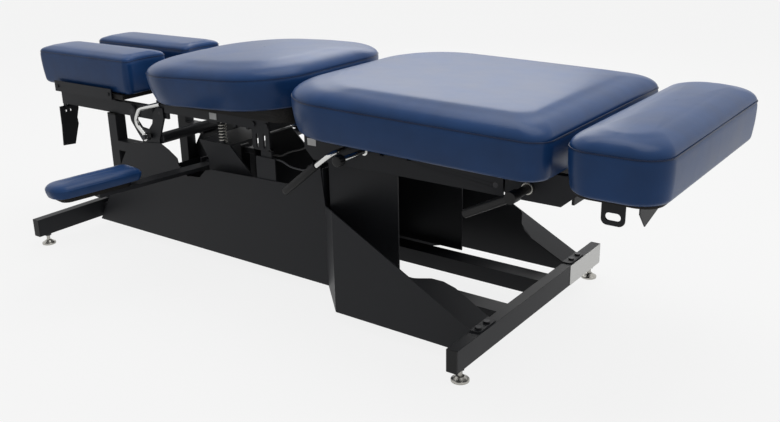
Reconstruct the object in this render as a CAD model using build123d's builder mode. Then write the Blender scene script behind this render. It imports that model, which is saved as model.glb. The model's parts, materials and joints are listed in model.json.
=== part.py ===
from build123d import *
import os
from math import atan2, cos, degrees, pi, radians, sin, sqrt, tan

# Adjusting table: four padded sections and two armrests on a low steel chassis
# X runs towards the foot end, Y across the table, Z up; the floor is Z = 0
# The middle of the whole length is X = 0, and the sizes are millimetres

# General clearances and stock
run_gap = 0.3
pin_gap = 0.05
overrun = 5.0
sheet = 3.0

# Crossbars, their caps and the rails between them
bar_wide = 25.4
bar_high = 50.8
bar_wall = 2.0
bar_low = 33.0
head_bar_face = -827.5
foot_bar_face = 600.5
head_bar_length = 709.0
foot_bar_length = 690.0
cap_plate = 3.0
cap_plug = 15.0
rail_middle = 100.0
rail_wide = 50.0
rail_high = 40.0
rail_wall = 2.5

# Levelling feet
foot_inset = 31.0
pad_radius = 19.5
pad_edge = 5.0
pad_high = 13.0
stud_radius = 5.0
stud_inside = 25.0
nut_radius = 9.5
nut_high = 6.5

# Chassis side panels with their widening gussets
panel_y = 150.0
gusset_y = 256.0
panel_head = -791.5
panel_length = 900.0
panel_low = 30.0
panel_high = 303.0
jog_length = 108.0
panel_top_shares = [(0.157, 0.702), (0.174, 0.775), (0.217, 0.876), (0.275, 0.908), (0.347, 0.93),
    (0.383, 0.882), (0.418, 0.82), (0.424, 0.754), (0.459, 0.67), (0.512, 0.685), (0.539, 0.76),
    (0.569, 0.785), (0.705, 0.796), (0.866, 0.806), (0.925, 0.87), (0.945, 1.0), (0.988, 1.0),
    (1.0, 0.687)]
gusset_peak_share = 0.815
flange_start_share = 0.57
flange_plan_shares = [(0.0, 0.0), (0.06, 0.15), (0.1, 0.3), (0.18, 0.62), (0.3, 0.86), (0.46, 0.98),
    (0.68, 0.97), (1.0, 0.95)]
flange_reach = 80.0
tab_length = 22.0
tab_round = 9.0
bolt_radius = 4.0
bolt_head_radius = 7.0
bolt_head_high = 4.0
tab_bolt_y = 206.0
tab_bolt_step = 34.0

# Cross plates inside the chassis
cross_plate = 4.0
head_plate_x = -658.5
head_plate_top = 175.0
foot_plate_x = 99.5
foot_plate_top = 330.0

# Bare identification plate on the foot crossbar
plate_y = 171.0
plate_thick = 1.0

# Head posts and their braces
post_size = 35.0
post_x = -703.5
post_top = 368.0
post_pad = 4.0
brace_high = 28.0
brace_low = 264.0
dome_x = -591.5

# Yoke plates that carry the head and chest pivots
yoke_thick = 6.0
yoke_x = -605.5
yoke_low = 250.0
yoke_long = 148.0
yoke_high = 162.0
yoke_shares = [(0.34, 0.0), (0.33, 0.36), (0.2, 0.5), (0.05, 0.68), (0.0, 0.9), (0.1, 0.98),
    (0.2, 0.9), (0.22, 0.72), (0.34, 0.6), (0.54, 0.58), (0.66, 0.7), (0.72, 0.9), (0.82, 1.0),
    (0.99, 1.0), (1.0, 0.82), (0.9, 0.6), (0.83, 0.44), (0.81, 0.0)]
head_pivot_step = 15.0
head_pivot_x = yoke_x + head_pivot_step
head_pivot_z = 388.0
head_pivot_radius = 8.0
yoke_tie_tail = 12.0
yoke_tie_x = yoke_x + yoke_long - yoke_tie_tail
yoke_tie_z = 323.0
yoke_tie_radius = 15.0

# Head frame
arm_high = 36.0
arm_thick = 20.0
arm_low = 372.0
arm_head = -928.5
arm_foot = -510.5
arm_gap = 2.5
lug_thick = 4.0
lug_wide = 14.0
lug_low = 353.0

# Head lever
lever_y = 162.0
lever_radius = 5.5
lever_bend = 24.0
lever_route = [(-518.5, 328.0), (-562.5, 364.0), (-538.5, 404.0), (-448.5, 427.0)]
lever_hub_radius = 11.0
lever_hub_half = 7.0

# Hanging release paddle under the near arm
paddle_step = 9.0
paddle_x = arm_head + paddle_step
paddle_pin_z = 361.0
paddle_pin_radius = 4.0
paddle_thick = 3.0
paddle_y = -164.0
paddle_wide = 72.0
paddle_low = 242.0
paddle_high = 124.0
paddle_shares = [(0.09, 1.0), (0.99, 1.0), (0.99, 0.87), (0.875, 0.645), (0.9, 0.484), (0.82, 0.35),
    (0.62, 0.0), (0.03, 0.03), (0.08, 0.5)]

# Sliding head carriage with its two cushions
carriage_y = 187.0
carriage_leg = 31.0
carriage_low = 424.0
carriage_x = -883.5
carriage_length = 262.0
carriage_shelf = 69.0
slide_step = 70.0
slide_x = carriage_x + slide_step
slide_length = 140.0
board_thick = 13.0
head_cushion_x = -963
head_cushion_length = 415.5
head_cushion_in_y = 32.0
head_cushion_out_y = 180.0
head_cushion_low = 440.0
head_seam = 534.0
head_crown = 552.0
head_corner = 24.0
face_cut_radius = 120.0
face_cut_depth = 14.0

# Chest section
head_gap = 78.0
chest_x = head_cushion_x + head_cushion_length + head_gap
chest_length = 524.0
chest_half = 262.0
chest_low = 446.0
chest_seam = 522.0
chest_crown = 560.0
chest_head_corner = 165.0
chest_foot_corner = 150.0
chest_draw = 10.0
chest_board_thick = 16.0
chest_board_inset = 45.0
chest_board_half = 165.0
chest_rise = 2.9
chest_rail_y = 153.0
chest_rail_thick = 6.0
chest_rail_length = 390.0
chest_rail_step = 30.0
chest_pivot_step = 4.0
chest_pivot_x = yoke_tie_x - chest_pivot_step
chest_pivot_z = 397.0
chest_rail_x = chest_pivot_x + chest_rail_step
chest_pivot_radius = 5.0
chest_tongue = 15.0
label_long = 26.0
label_high = 17.0
label_thick = 0.8
chest_label_x = -267.5

# Spring pedestal, springs and their bolts
pedestal_y = 122.0
pedestal_x = -348.5
pedestal_long = 190.0
pedestal_top = 335.0
pedestal_shares = [(0.158, 0.0), (0.158, 0.83), (0.0, 1.0), (0.616, 1.0), (1.0, 0.74), (1.0, 0.0)]
spring_step = 85.0
spring_x = pedestal_x + spring_step
spring_y = 115.0
spring_low = 337.0
spring_top = 396.0
spring_radius = 11.0
spring_wire = 1.5
spring_turns = 7
arcs_per_turn = 4
pedestal_seat = 15.0
spring_bolt_radius = 4.0
spring_bolt_top = 399.0
spring_hole_radius = 6.5

# Chest latch column
column_x = -116.5
column_wide = 65.0
column_low = 205.0
column_top = 330.0
hanger_x = -113.5
hanger_wide = 58.0
hanger_low = 352.0
hanger_top = 403.0
hanger_thick = 5.0
catch_step = 15.0
catch_x = column_x + catch_step
catch_wide = 36.0
catch_low = 300.0
catch_top = 346.0
catch_deep = 12.0
cock_rod_x = -188.5
cock_rod_length = 53.0
cock_rod_radius = 3.0
cock_lug = 8.0

# Pelvic section and the fixed beams it is hinged on
section_gap = 14.0
pelvic_x = chest_x + chest_length + section_gap
pelvic_length = 676.0
pelvic_half = 302.0
pelvic_low = 442.0
pelvic_seam = 519.0
pelvic_crown = 558.0
pelvic_head_corner = 150.0
pelvic_foot_corner = 44.0
side_draw = 5.0
pelvic_board_inset = 34.0
pelvic_board_half = 178.0
pelvic_rise = 1.2
pelvic_rail_y = 163.0
pelvic_rail_thick = 5.0
pelvic_rail_lead = 5.0
pelvic_overhang = 150.0
pelvic_rail_x = pelvic_x - pelvic_rail_lead
pelvic_rail_length = pelvic_length + pelvic_rail_lead - pelvic_overhang
pelvic_rail_tail = 18.0
pelvic_rail_low = 355.0
pelvic_rail_top = 424.0
pelvic_rail_round = 26.0
pelvic_deck = 6.0
pelvic_deck_step = 13.0
pelvic_deck_x = pelvic_rail_x + pelvic_deck_step
slot_long = 12.0
slot_high = 4.0
slot_step = 72.0
slot_z = 397.0
pelvic_label_step = 10.0
pelvic_label_x = pelvic_rail_x + pelvic_label_step
beam_y = 145.0
beam_thick = 12.0
beam_low = 358.0
beam_high = 36.0
beam_step = 15.0
beam_x = pelvic_rail_x + beam_step
beam_wall = 2.0
pelvic_pivot_x = pelvic_rail_x + pelvic_rail_length - pelvic_rail_tail
pelvic_pivot_z = 376.0
pelvic_pivot_radius = 6.0
support_x = 116.5
support_length = 200.0
support_y = 141.0
bumper_high = 8.0
bumper_step = 23.0
bumper_x = beam_x + bumper_step

# Cocking lever and tension knob on the near pelvic rail
cock_step = 135.0
cock_x = pelvic_rail_x + cock_step
cock_z = 401.0
cock_radius = 6.0
cock_out = 230.0
cock_in = 150.0
cock_reach = 144.0
cock_end_x = cock_x - cock_reach
cock_end_z = 289.0
cock_bend = 22.0
grip_radius = 9.5
grip_length = 128.0
knob_step = 48.0
knob_x = cock_x + knob_step
slot_lead = 44.0
slot_x = knob_x + slot_lead
knob_radius = 13.5
knob_thick = 22.0
knob_out = 272.0
knob_dish = 2.5
collar_radius = 10.0
collar_long = 8.0

# Foot bracket, foot section and its lever
bracket_gap = 4.0
bracket_x = pelvic_rail_x + pelvic_rail_length + bracket_gap
bracket_length = 163.0
bracket_top = 420.0
bracket_shares = [(0.0, 0.0), (0.755, 0.0), (1.0, 0.54), (1.0, 0.77), (0.82, 1.0), (0.0, 1.0)]
tie_step = 16.0
guide_start = 88.0
tie_x = bracket_x + tie_step
tie_thick = 6.0
guide_x = bracket_x + guide_start
guide_step = 55.0
guide_top = 416.0
runner_y = 120.0
runner_size = 20.0
runner_wall = 2.0
runner_low = 388.0
runner_gap = 2.0
runner_tail = 4.0
runner_x = tie_x + tie_thick + runner_gap
block_gap = 51.0
block_step = 58.0
block_length = 30.0
block_x = guide_x + guide_step + tie_thick + block_gap
runner_end = block_x + block_step + block_length + runner_tail
foot_overhang = 26.0
foot_cushion_x = block_x - foot_overhang
foot_cushion_length = 190.5
foot_half = 296.0
foot_low = 440.0
foot_seam = 513.0
foot_crown = 549.0
foot_corner = 55.0
foot_board_low = 424.0
foot_board_inset = 14.0
foot_lever_step = 53.0
foot_lever_x = bracket_x + foot_lever_step
foot_lever_z = 383.0
foot_hub_radius = 12.5
foot_hub_out = 242.0
foot_hub_long = 26.0
foot_shaft_radius = 9.0
foot_shaft_in = 140.0
foot_grip_reach = 107.0
foot_grip_x = foot_lever_x - foot_grip_reach
foot_grip_z = 328.0
foot_grip_radius = 9.5
screw_radius = 5.0
screw_depth = 3.0
holder_step = 26.0
holder_x = block_x + holder_step
holder_wide = 46.0
holder_low = 358.0
holder_y = 214.0
holder_thick = 4.0
holder_round = 12.0
holder_slot_long = 30.0
holder_slot_high = 15.0
holder_slot_z = 375.0
cutter_gap = 4.0
cutter_x = runner_end + cutter_gap
cutter_thick = 2.5
cutter_y = -212.0
cutter_wide = 150.0
cutter_low = 356.0
cutter_shares = [(0.0, 1.0), (0.0, 0.48), (0.2, 0.0), (0.62, 0.24), (1.0, 0.8), (1.0, 1.0)]

# Armrests
rest_pivot_x = -354.5
rest_pivot_y = 77.0
rest_pivot_z = 255.0
rest_barrel_radius = 9.0
rest_barrel_long = 48.0
rest_pin_radius = 5.0
rest_bar_wide = 40.0
rest_bar_thick = 10.0
rest_end_x = -401.5
rest_end_y = 430.0
cheek_thick = 6.0
cheek_wide = 32.0
rest_board_thick = 12.0
rest_pad_x = -412.5
rest_pad_y = 427.0
rest_pad_turn = 7.3
rest_pad_long = 240.0
rest_pad_wide = 86.0
rest_pad_high = 38.0
rest_pad_corner = 40.0
rest_inner_corner = 14.0
rest_board_long = 190.0
rest_board_wide = 62.0
rest_swivel_radius = 5.0
rest_bolt_step = 66.0
swivel_share = 0.93

# Thin control cables at the latch
cable_radius = 2.0
bend_share = 0.45
cable_y = 138.0
black_cable = [(-65.5, 338.0), (-37.5, 338.0), (-7.5, 355.0), (26.5, 364.0), (54.5, 378.0),
    (84.5, 378.0)]
grey_cable = [(-65.5, 327.0), (-37.5, 327.0), (-9.5, 315.0), (28.5, 313.0), (64.5, 318.0),
    (99.5, 318.0)]

# How a cushion is drawn in below its seam and crowned above it
corner_share = 0.44
seam_step = 1.6
side_shares = [(0.0, 1.0), (0.3, 0.45), (0.65, 0.1), (1.0, 0.0)]
crown_shares = [(0.0, 0.0), (0.38, 0.06), (0.68, 0.2), (0.88, 0.48), (1.0, 1.0)]
pelvic_flat = 130.0
chest_flat = 150.0
foot_flat = 70.0
head_flat = 34.0
rest_flat = 28.0
rest_seam_share = 0.55

# Sizes that follow from the ones above
bar_top = bar_low + bar_high
foot_bar_in = foot_bar_face - bar_wide
head_bar_in = head_bar_face + bar_wide
rail_top = bar_low + rail_high
panel_foot = panel_head + panel_length
jog_foot = panel_foot + jog_length
gusset_peak = panel_low + gusset_peak_share * panel_high
gusset_end_z = bar_top + sheet
arm_y = panel_y - sheet - yoke_thick - arm_gap
arm_top = arm_low + arm_high
chest_rail_top = chest_low - chest_board_thick
board_top = carriage_low + sheet + board_thick
hanger_y = chest_rail_y + hanger_thick


def box(x0, x1, y0, y1, z0, z1, mode=Mode.ADD):
    with BuildSketch(Plane.XY.offset(z0)) as face:
        with Locations(((x0 + x1) / 2, (y0 + y1) / 2)):
            Rectangle(x1 - x0, y1 - y0)
    extrude(face.sketch, amount=z1 - z0, mode=mode)


def elevation(points, y0, y1, mode=Mode.ADD):
    with BuildSketch(Plane.XZ.offset(-y0)) as face:
        with BuildLine():
            Polyline(*points, close=True)
        make_face()
    extrude(face.sketch, amount=y0 - y1, mode=mode)


def end_view(points, x0, x1, mode=Mode.ADD):
    with BuildSketch(Plane.YZ.offset(x0)) as face:
        with BuildLine():
            Polyline(*points, close=True)
        make_face()
    extrude(face.sketch, amount=x1 - x0, mode=mode)


def plan(points, z0, z1, mode=Mode.ADD):
    with BuildSketch(Plane.XY.offset(z0)) as face:
        with BuildLine():
            Polyline(*points, close=True)
        make_face()
    extrude(face.sketch, amount=z1 - z0, mode=mode)


def round_x(y, z, x0, x1, radius, mode=Mode.ADD):
    with BuildSketch(Plane.YZ.offset(x0)) as face:
        with Locations((y, z)):
            Circle(radius)
    extrude(face.sketch, amount=x1 - x0, mode=mode)


def round_y(x, z, y0, y1, radius, mode=Mode.ADD):
    with BuildSketch(Plane.XZ.offset(-y0)) as face:
        with Locations((x, z)):
            Circle(radius)
    extrude(face.sketch, amount=y0 - y1, mode=mode)


def round_z(x, y, z0, z1, radius, mode=Mode.ADD):
    with BuildSketch(Plane.XY.offset(z0)) as face:
        with Locations((x, y)):
            Circle(radius)
    extrude(face.sketch, amount=z1 - z0, mode=mode)


def spread(shares, left, low, length, height):
    return [(left + u * length, low + v * height) for u, v in shares]


def far_side():
    mirror(about=Plane.XZ)


# One level outline of a cushion, drawn in from its seam line
def level(z, x0, x1, y0, y1, head_radius, foot_radius, inset):
    length = x1 - x0 - 2 * inset
    width = y1 - y0 - 2 * inset
    limit = corner_share * min(length, width)
    with BuildSketch(Plane.XY.offset(z)) as ring:
        with Locations(((x0 + x1) / 2, (y0 + y1) / 2)):
            Rectangle(length, width)
        fillet(ring.vertices().sort_by(Axis.X)[:2], radius=min(head_radius, limit))
        fillet(ring.vertices().sort_by(Axis.X)[-2:], radius=min(foot_radius, limit))
    return ring.sketch


# A cushion drawn in below its sewn seam and crowned above it
def cushion(x0, x1, y0, y1, low, seam, crown, head_radius, foot_radius, draw, flat):
    rings = []
    for rise, pull in side_shares:
        rings.append(level(low + rise * (seam - low), x0, x1, y0, y1, head_radius, foot_radius,
            pull * draw))
    loft(rings)
    rings = []
    for rise, pull in crown_shares:
        step = seam_step + pull * flat
        rings.append(level(seam + rise * (crown - seam), x0, x1, y0, y1, head_radius, foot_radius, step))
    loft(rings)


# Height at x of a cushion's underside, which slopes from the hinge of its section
def seat_height(x, pivot_x, pivot_z, low, rise):
    slope = radians(rise)
    return pivot_z + (low - pivot_z) / cos(slope) + (x - pivot_x) * tan(slope)


os.makedirs("parts", exist_ok=True)

# Crossbars: hollow steel tube with holes for the levelling studs
bars = [("head_crossbar", head_bar_face, head_bar_length),
    ("foot_crossbar", foot_bar_in, foot_bar_length)]
for bar_name, bar_x, bar_length in bars:
    with BuildPart() as crossbar:
        box(bar_x, bar_x + bar_wide, -bar_length / 2, bar_length / 2, bar_low, bar_top)
        box(bar_x + bar_wall, bar_x + bar_wide - bar_wall, -bar_length, bar_length,
            bar_low + bar_wall, bar_top - bar_wall, Mode.SUBTRACT)
        stud_y = bar_length / 2 - foot_inset
        for side in (-1, 1):
            round_z(bar_x + bar_wide / 2, side * stud_y, bar_low - overrun, bar_low + overrun,
                stud_radius + pin_gap, Mode.SUBTRACT)
    crossbar.part.label = bar_name
    export_step(crossbar.part, "parts/" + bar_name + ".step")

# End caps of both crossbars
with BuildPart() as crossbar_caps:
    for bar_name, bar_x, bar_length in bars:
        end = bar_length / 2
        plug = bar_wall + run_gap
        for side in (-1, 1):
            y0, y1 = sorted((side * end, side * (end + cap_plate)))
            box(bar_x, bar_x + bar_wide, y0, y1, bar_low, bar_top)
            y0, y1 = sorted((side * end, side * (end - cap_plug)))
            box(bar_x + plug, bar_x + bar_wide - plug, y0, y1, bar_low + plug, bar_top - plug)
crossbar_caps.part.label = "crossbar_caps"
export_step(crossbar_caps.part, "parts/crossbar_caps.step")

# Base rails joining the crossbars
with BuildPart() as base_rails:
    box(head_bar_in, foot_bar_in, -rail_middle - rail_wide / 2, -rail_middle + rail_wide / 2,
        bar_low, rail_top)
    inner = rail_wide / 2 - rail_wall
    box(head_bar_in, foot_bar_in, -rail_middle - inner, -rail_middle + inner, bar_low + rail_wall,
        rail_top - rail_wall, Mode.SUBTRACT)
    far_side()
base_rails.part.label = "base_rails"
export_step(base_rails.part, "parts/base_rails.step")

# Levelling feet: dished pad and stud, each a screw of its own
feet = [("levelling_foot_head_near", 0, -1), ("levelling_foot_head_far", 0, 1),
    ("levelling_foot_foot_near", 1, -1), ("levelling_foot_foot_far", 1, 1)]
for foot_name, end, side in feet:
    bar_name, bar_x, bar_length = bars[end]
    foot_x = bar_x + bar_wide / 2
    foot_y = side * (bar_length / 2 - foot_inset)
    with BuildPart() as levelling_foot:
        with BuildSketch(Plane(origin=(foot_x, foot_y, 0), x_dir=(1, 0, 0), z_dir=(0, -1, 0))):
            with BuildLine():
                Polyline((0, 0), (pad_radius, 0), (pad_radius, pad_edge),
                    (2 * stud_radius, pad_high), (stud_radius, pad_high),
                    (stud_radius, bar_low + stud_inside), (0, bar_low + stud_inside), close=True)
            make_face()
        revolve(axis=Axis((foot_x, foot_y, 0), (0, 0, 1)))
    levelling_foot.part.label = foot_name
    export_step(levelling_foot.part, "parts/" + foot_name + ".step")

# Sloping inward flange of the near gusset
slope_run = foot_bar_in - jog_foot
slope = (gusset_end_z - gusset_peak) / slope_run
flange_x = jog_foot + flange_start_share * (foot_bar_in - jog_foot)
flange_z = gusset_peak + slope * (flange_x - jog_foot)
flange_long = foot_bar_in - flange_x
with BuildPart() as near_flange:
    corners = [(flange_x + u * flange_long, -gusset_y + v * flange_reach) for u,
        v in flange_plan_shares]
    plan(corners + [(foot_bar_in, -gusset_y)], panel_low, gusset_peak)
    elevation([(flange_x, flange_z), (foot_bar_in, gusset_end_z),
        (foot_bar_in, gusset_end_z - sheet), (flange_x, flange_z - sheet)], -gusset_y, -panel_y,
        Mode.INTERSECT)

# Chassis side: panel, jog, gusset, flange and bolted tab from one bent sheet
turn = atan2(gusset_y - panel_y, jog_length)
miter = sheet * tan(turn / 2)
with BuildPart() as chassis_side_near:
    outer = [(panel_head, -panel_y), (panel_foot, -panel_y), (jog_foot, -gusset_y),
        (foot_bar_in, -gusset_y)]
    inner = [(foot_bar_in, -gusset_y + sheet), (jog_foot + miter, -gusset_y + sheet),
        (panel_foot + miter, -panel_y + sheet), (panel_head, -panel_y + sheet)]
    plan(outer + inner, panel_low, panel_low + panel_high)
    silhouette = [(panel_head, panel_low)] + spread(panel_top_shares, panel_head, panel_low,
        panel_length, panel_high)
    silhouette += [(jog_foot, gusset_peak), (foot_bar_in, gusset_end_z), (foot_bar_in, panel_low)]
    elevation(silhouette, -gusset_y - overrun, -panel_y + sheet + overrun, Mode.INTERSECT)
    add(near_flange.part)
    tab_in = -gusset_y + flange_reach * flange_plan_shares[-1][1]
    box(foot_bar_in, foot_bar_in + tab_length, -gusset_y, tab_in, bar_top, bar_top + sheet)
    fillet(chassis_side_near.edges().filter_by(Axis.Z).group_by(Axis.X)[-1], radius=tab_round)
    for step in (0, tab_bolt_step):
        round_z(foot_bar_in + tab_length / 2, -tab_bolt_y - step, bar_top - overrun,
            bar_top + sheet + overrun, bolt_radius + pin_gap, Mode.SUBTRACT)
chassis_side_near.part.label = "chassis_side_near"
export_step(chassis_side_near.part, "parts/chassis_side_near.step")

with BuildPart() as chassis_side_far:
    mirror(chassis_side_near.part, about=Plane.XZ)
chassis_side_far.part.label = "chassis_side_far"
export_step(chassis_side_far.part, "parts/chassis_side_far.step")

# Bolts through the gusset tabs and on the head crossbar, and the nuts on the levelling studs
with BuildPart() as frame_fasteners:
    for side in (-1, 1):
        for step in (0, tab_bolt_step):
            round_z(foot_bar_in + tab_length / 2, side * (tab_bolt_y + step), bar_top + sheet,
                bar_top + sheet + bolt_head_high, bolt_head_radius)
            round_z(foot_bar_in + tab_length / 2, side * (tab_bolt_y + step), bar_top,
                bar_top + sheet, bolt_radius)
    for side in (-1, 1):
        round_z(head_bar_face + bar_wide / 2, side * rail_middle, bar_top, bar_top + bolt_head_high,
            bolt_head_radius)
    for foot_name, end, side in feet:
        bar_name, bar_x, bar_length = bars[end]
        with BuildSketch(Plane.XY.offset(bar_low - nut_high)):
            with Locations((bar_x + bar_wide / 2, side * (bar_length / 2 - foot_inset))):
                RegularPolygon(nut_radius, 6)
                Circle(stud_radius + pin_gap, mode=Mode.SUBTRACT)
        extrude(amount=nut_high)
frame_fasteners.part.label = "frame_fasteners"
export_step(frame_fasteners.part, "parts/frame_fasteners.step")

# Cross plates that join the sides above the rails
plate_half = panel_y - sheet
with BuildPart() as cross_plates:
    box(head_plate_x, head_plate_x + cross_plate, -plate_half, plate_half, rail_top, head_plate_top)
    box(foot_plate_x, foot_plate_x + cross_plate, -plate_half, plate_half, rail_top, foot_plate_top)
    for side in (-1, 1):
        y0, y1 = sorted((side * support_y, side * (support_y - cross_plate)))
        box(support_x, support_x + support_length, y0, y1, rail_top, beam_low)
    inside = support_y - cross_plate
    box(support_x, support_x + cross_plate, -inside, inside, rail_top, beam_low)
cross_plates.part.label = "cross_plates"
export_step(cross_plates.part, "parts/cross_plates.step")

# Bare identification plate
with BuildPart() as id_plate:
    box(foot_bar_face, foot_bar_face + plate_thick, plate_y, foot_bar_length / 2, bar_low, bar_top)
id_plate.part.label = "id_plate"
export_step(id_plate.part, "parts/id_plate.step")

# Head posts with their rest pads, and the braces to the chassis
post_out = panel_y - sheet
with BuildPart() as head_posts:
    box(post_x, post_x + post_size, -post_out, -post_out + post_size, rail_top, post_top)
    box(post_x + bar_wall, post_x + post_size - bar_wall, -post_out + bar_wall,
        -post_out + post_size - bar_wall, rail_top, post_top - bar_wall, Mode.SUBTRACT)
    box(post_x + post_size, dome_x, -post_out, -post_out + post_size, brace_low, brace_low + brace_high)
    far_side()
head_posts.part.label = "head_posts"
export_step(head_posts.part, "parts/head_posts.step")


# Yoke plates, their tie tube and the head pivot shaft
yoke_out = panel_y - sheet
yoke_in = yoke_out - yoke_thick
with BuildPart() as yoke_plates:
    elevation(spread(yoke_shares, yoke_x, yoke_low, yoke_long, yoke_high), -yoke_out, -yoke_in)
    round_y(head_pivot_x, head_pivot_z, -yoke_out - overrun, -yoke_in + overrun,
        head_pivot_radius + pin_gap, Mode.SUBTRACT)
    round_y(chest_pivot_x, chest_pivot_z, -yoke_out - overrun, -yoke_in + overrun,
        chest_pivot_radius + pin_gap, Mode.SUBTRACT)
    far_side()
    round_y(yoke_tie_x - yoke_tie_radius, yoke_tie_z, -yoke_in, yoke_in, yoke_tie_radius)
yoke_plates.part.label = "yoke_plates"
export_step(yoke_plates.part, "parts/yoke_plates.step")


# Head frame: two tube arms joined by a tube at the head end, with the paddle lugs
with BuildPart() as head_frame:
    box(arm_head, arm_foot, -arm_y, -arm_y + arm_thick, arm_low, arm_top)
    far_side()
    box(arm_head, arm_head + arm_thick, -arm_y + arm_thick, arm_y - arm_thick, arm_low, arm_top)
    round_y(head_pivot_x, head_pivot_z, -arm_y - overrun, arm_y + overrun,
        head_pivot_radius + pin_gap, Mode.SUBTRACT)
    for lug_y in (-arm_y, -arm_y + arm_thick - lug_thick):
        box(paddle_x - lug_wide / 2, paddle_x + lug_wide / 2, lug_y, lug_y + lug_thick, lug_low,
            arm_low)
        round_y(paddle_x, paddle_pin_z, lug_y - overrun, lug_y + lug_thick + overrun,
            paddle_pin_radius + pin_gap, Mode.SUBTRACT)
    round_y(paddle_x, paddle_pin_z, -arm_y, -arm_y + arm_thick, paddle_pin_radius)
head_frame.part.label = "head_frame"
export_step(head_frame.part, "parts/head_frame.step")


# Release paddle: knuckle on the pin and a plate with a flared lower end
with BuildPart() as release_paddle:
    knuckle_out = -arm_y + lug_thick + run_gap
    knuckle_in = -arm_y + arm_thick - lug_thick - run_gap
    paddle_left = paddle_x - paddle_thick / 2
    end_view(spread(paddle_shares, paddle_y, paddle_low, paddle_wide, paddle_high), paddle_left,
        paddle_left + paddle_thick)
    for lug_y in (-arm_y, -arm_y + arm_thick - lug_thick):
        box(paddle_left - overrun, paddle_left + paddle_thick + overrun, lug_y - run_gap,
            lug_y + lug_thick + run_gap, lug_low - lug_wide / 2, paddle_low + paddle_high + overrun,
            Mode.SUBTRACT)
    round_y(paddle_x, paddle_pin_z, knuckle_out, knuckle_in, paddle_pin_radius + paddle_thick)
    round_y(paddle_x, paddle_pin_z, knuckle_out - overrun, knuckle_in + overrun,
        paddle_pin_radius + pin_gap, Mode.SUBTRACT)
release_paddle.part.label = "release_paddle"
export_step(release_paddle.part, "parts/release_paddle.step")

# Head lever: bent chrome bar with a hub, turning on a screw in the near yoke plate
with BuildPart() as head_lever:
    with BuildLine() as lever_line:
        FilletPolyline(*[(x, -lever_y, z) for x, z in lever_route], radius=lever_bend)
    with BuildSketch(Plane(origin=lever_line.line @ 0, z_dir=lever_line.line % 0)):
        Circle(lever_radius)
    sweep()
    hub_x, hub_z = lever_route[0]
    round_y(hub_x, hub_z, -lever_y - lever_hub_half, -lever_y + lever_hub_half, lever_hub_radius)
    round_y(hub_x, hub_z, -lever_y - lever_hub_radius, -lever_y + lever_hub_radius,
        bolt_radius + pin_gap, Mode.SUBTRACT)
head_lever.part.label = "head_lever"
export_step(head_lever.part, "parts/head_lever.step")

with BuildPart() as head_lever_screw:
    screw_end = -lever_y - lever_hub_half - run_gap
    round_y(hub_x, hub_z, screw_end, -yoke_out, bolt_radius)
    round_y(hub_x, hub_z, -lever_y + lever_hub_half + run_gap, -yoke_out, bolt_head_radius)
    round_y(hub_x, hub_z, screw_end - bolt_head_high, screw_end, bolt_head_radius)
head_lever_screw.part.label = "head_lever_screw"
export_step(head_lever_screw.part, "parts/head_lever_screw.step")

# Head carriage: slide blocks, side angles, boards, screws and cushions
with BuildPart() as head_carriage:
    box(carriage_x, carriage_x + carriage_length, -carriage_y, -carriage_y + sheet, carriage_low,
        carriage_low + carriage_leg)
    box(carriage_x, carriage_x + carriage_length, -carriage_y, -carriage_y + carriage_shelf,
        carriage_low, carriage_low + sheet)
    box(slide_x, slide_x + slide_length, -arm_y, -arm_y + arm_thick, arm_top, carriage_low)
    screw_z = carriage_low + carriage_leg / 2
    for screw_x in (carriage_x + carriage_length - lug_wide, carriage_x + lug_wide):
        round_y(screw_x, screw_z, -carriage_y - screw_depth, -carriage_y, screw_radius)
    far_side()
    box(slide_x, slide_x + slide_length, -arm_y + arm_thick, arm_y - arm_thick, carriage_low,
        carriage_low + sheet)
head_carriage.part.label = "head_carriage"
export_step(head_carriage.part, "parts/head_carriage.step")

head_board_x = carriage_x
head_board_end = head_cushion_x + head_cushion_length - pelvic_board_inset
with BuildPart() as head_boards:
    box(head_board_x, head_board_end, -head_cushion_out_y + run_gap * 2, -head_cushion_in_y,
        carriage_low + sheet, board_top)
    far_side()
head_boards.part.label = "head_boards"
export_step(head_boards.part, "parts/head_boards.step")


with BuildPart() as head_cushion_near:
    cushion(head_cushion_x, head_cushion_x + head_cushion_length, -head_cushion_out_y,
        -head_cushion_in_y, head_cushion_low, head_seam, head_crown, head_corner, head_corner,
        side_draw, head_flat)
    cut_x = head_cushion_x + head_cushion_length - face_cut_depth + face_cut_radius
    cut_y = -(head_cushion_out_y + head_cushion_in_y) / 2
    round_z(cut_x, cut_y, head_cushion_low - overrun, head_crown + overrun, face_cut_radius,
        Mode.SUBTRACT)
head_cushion_near.part.label = "head_cushion_near"
export_step(head_cushion_near.part, "parts/head_cushion_near.step")

with BuildPart() as head_cushion_far:
    mirror(head_cushion_near.part, about=Plane.XZ)
head_cushion_far.part.label = "head_cushion_far"
export_step(head_cushion_far.part, "parts/head_cushion_far.step")

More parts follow.
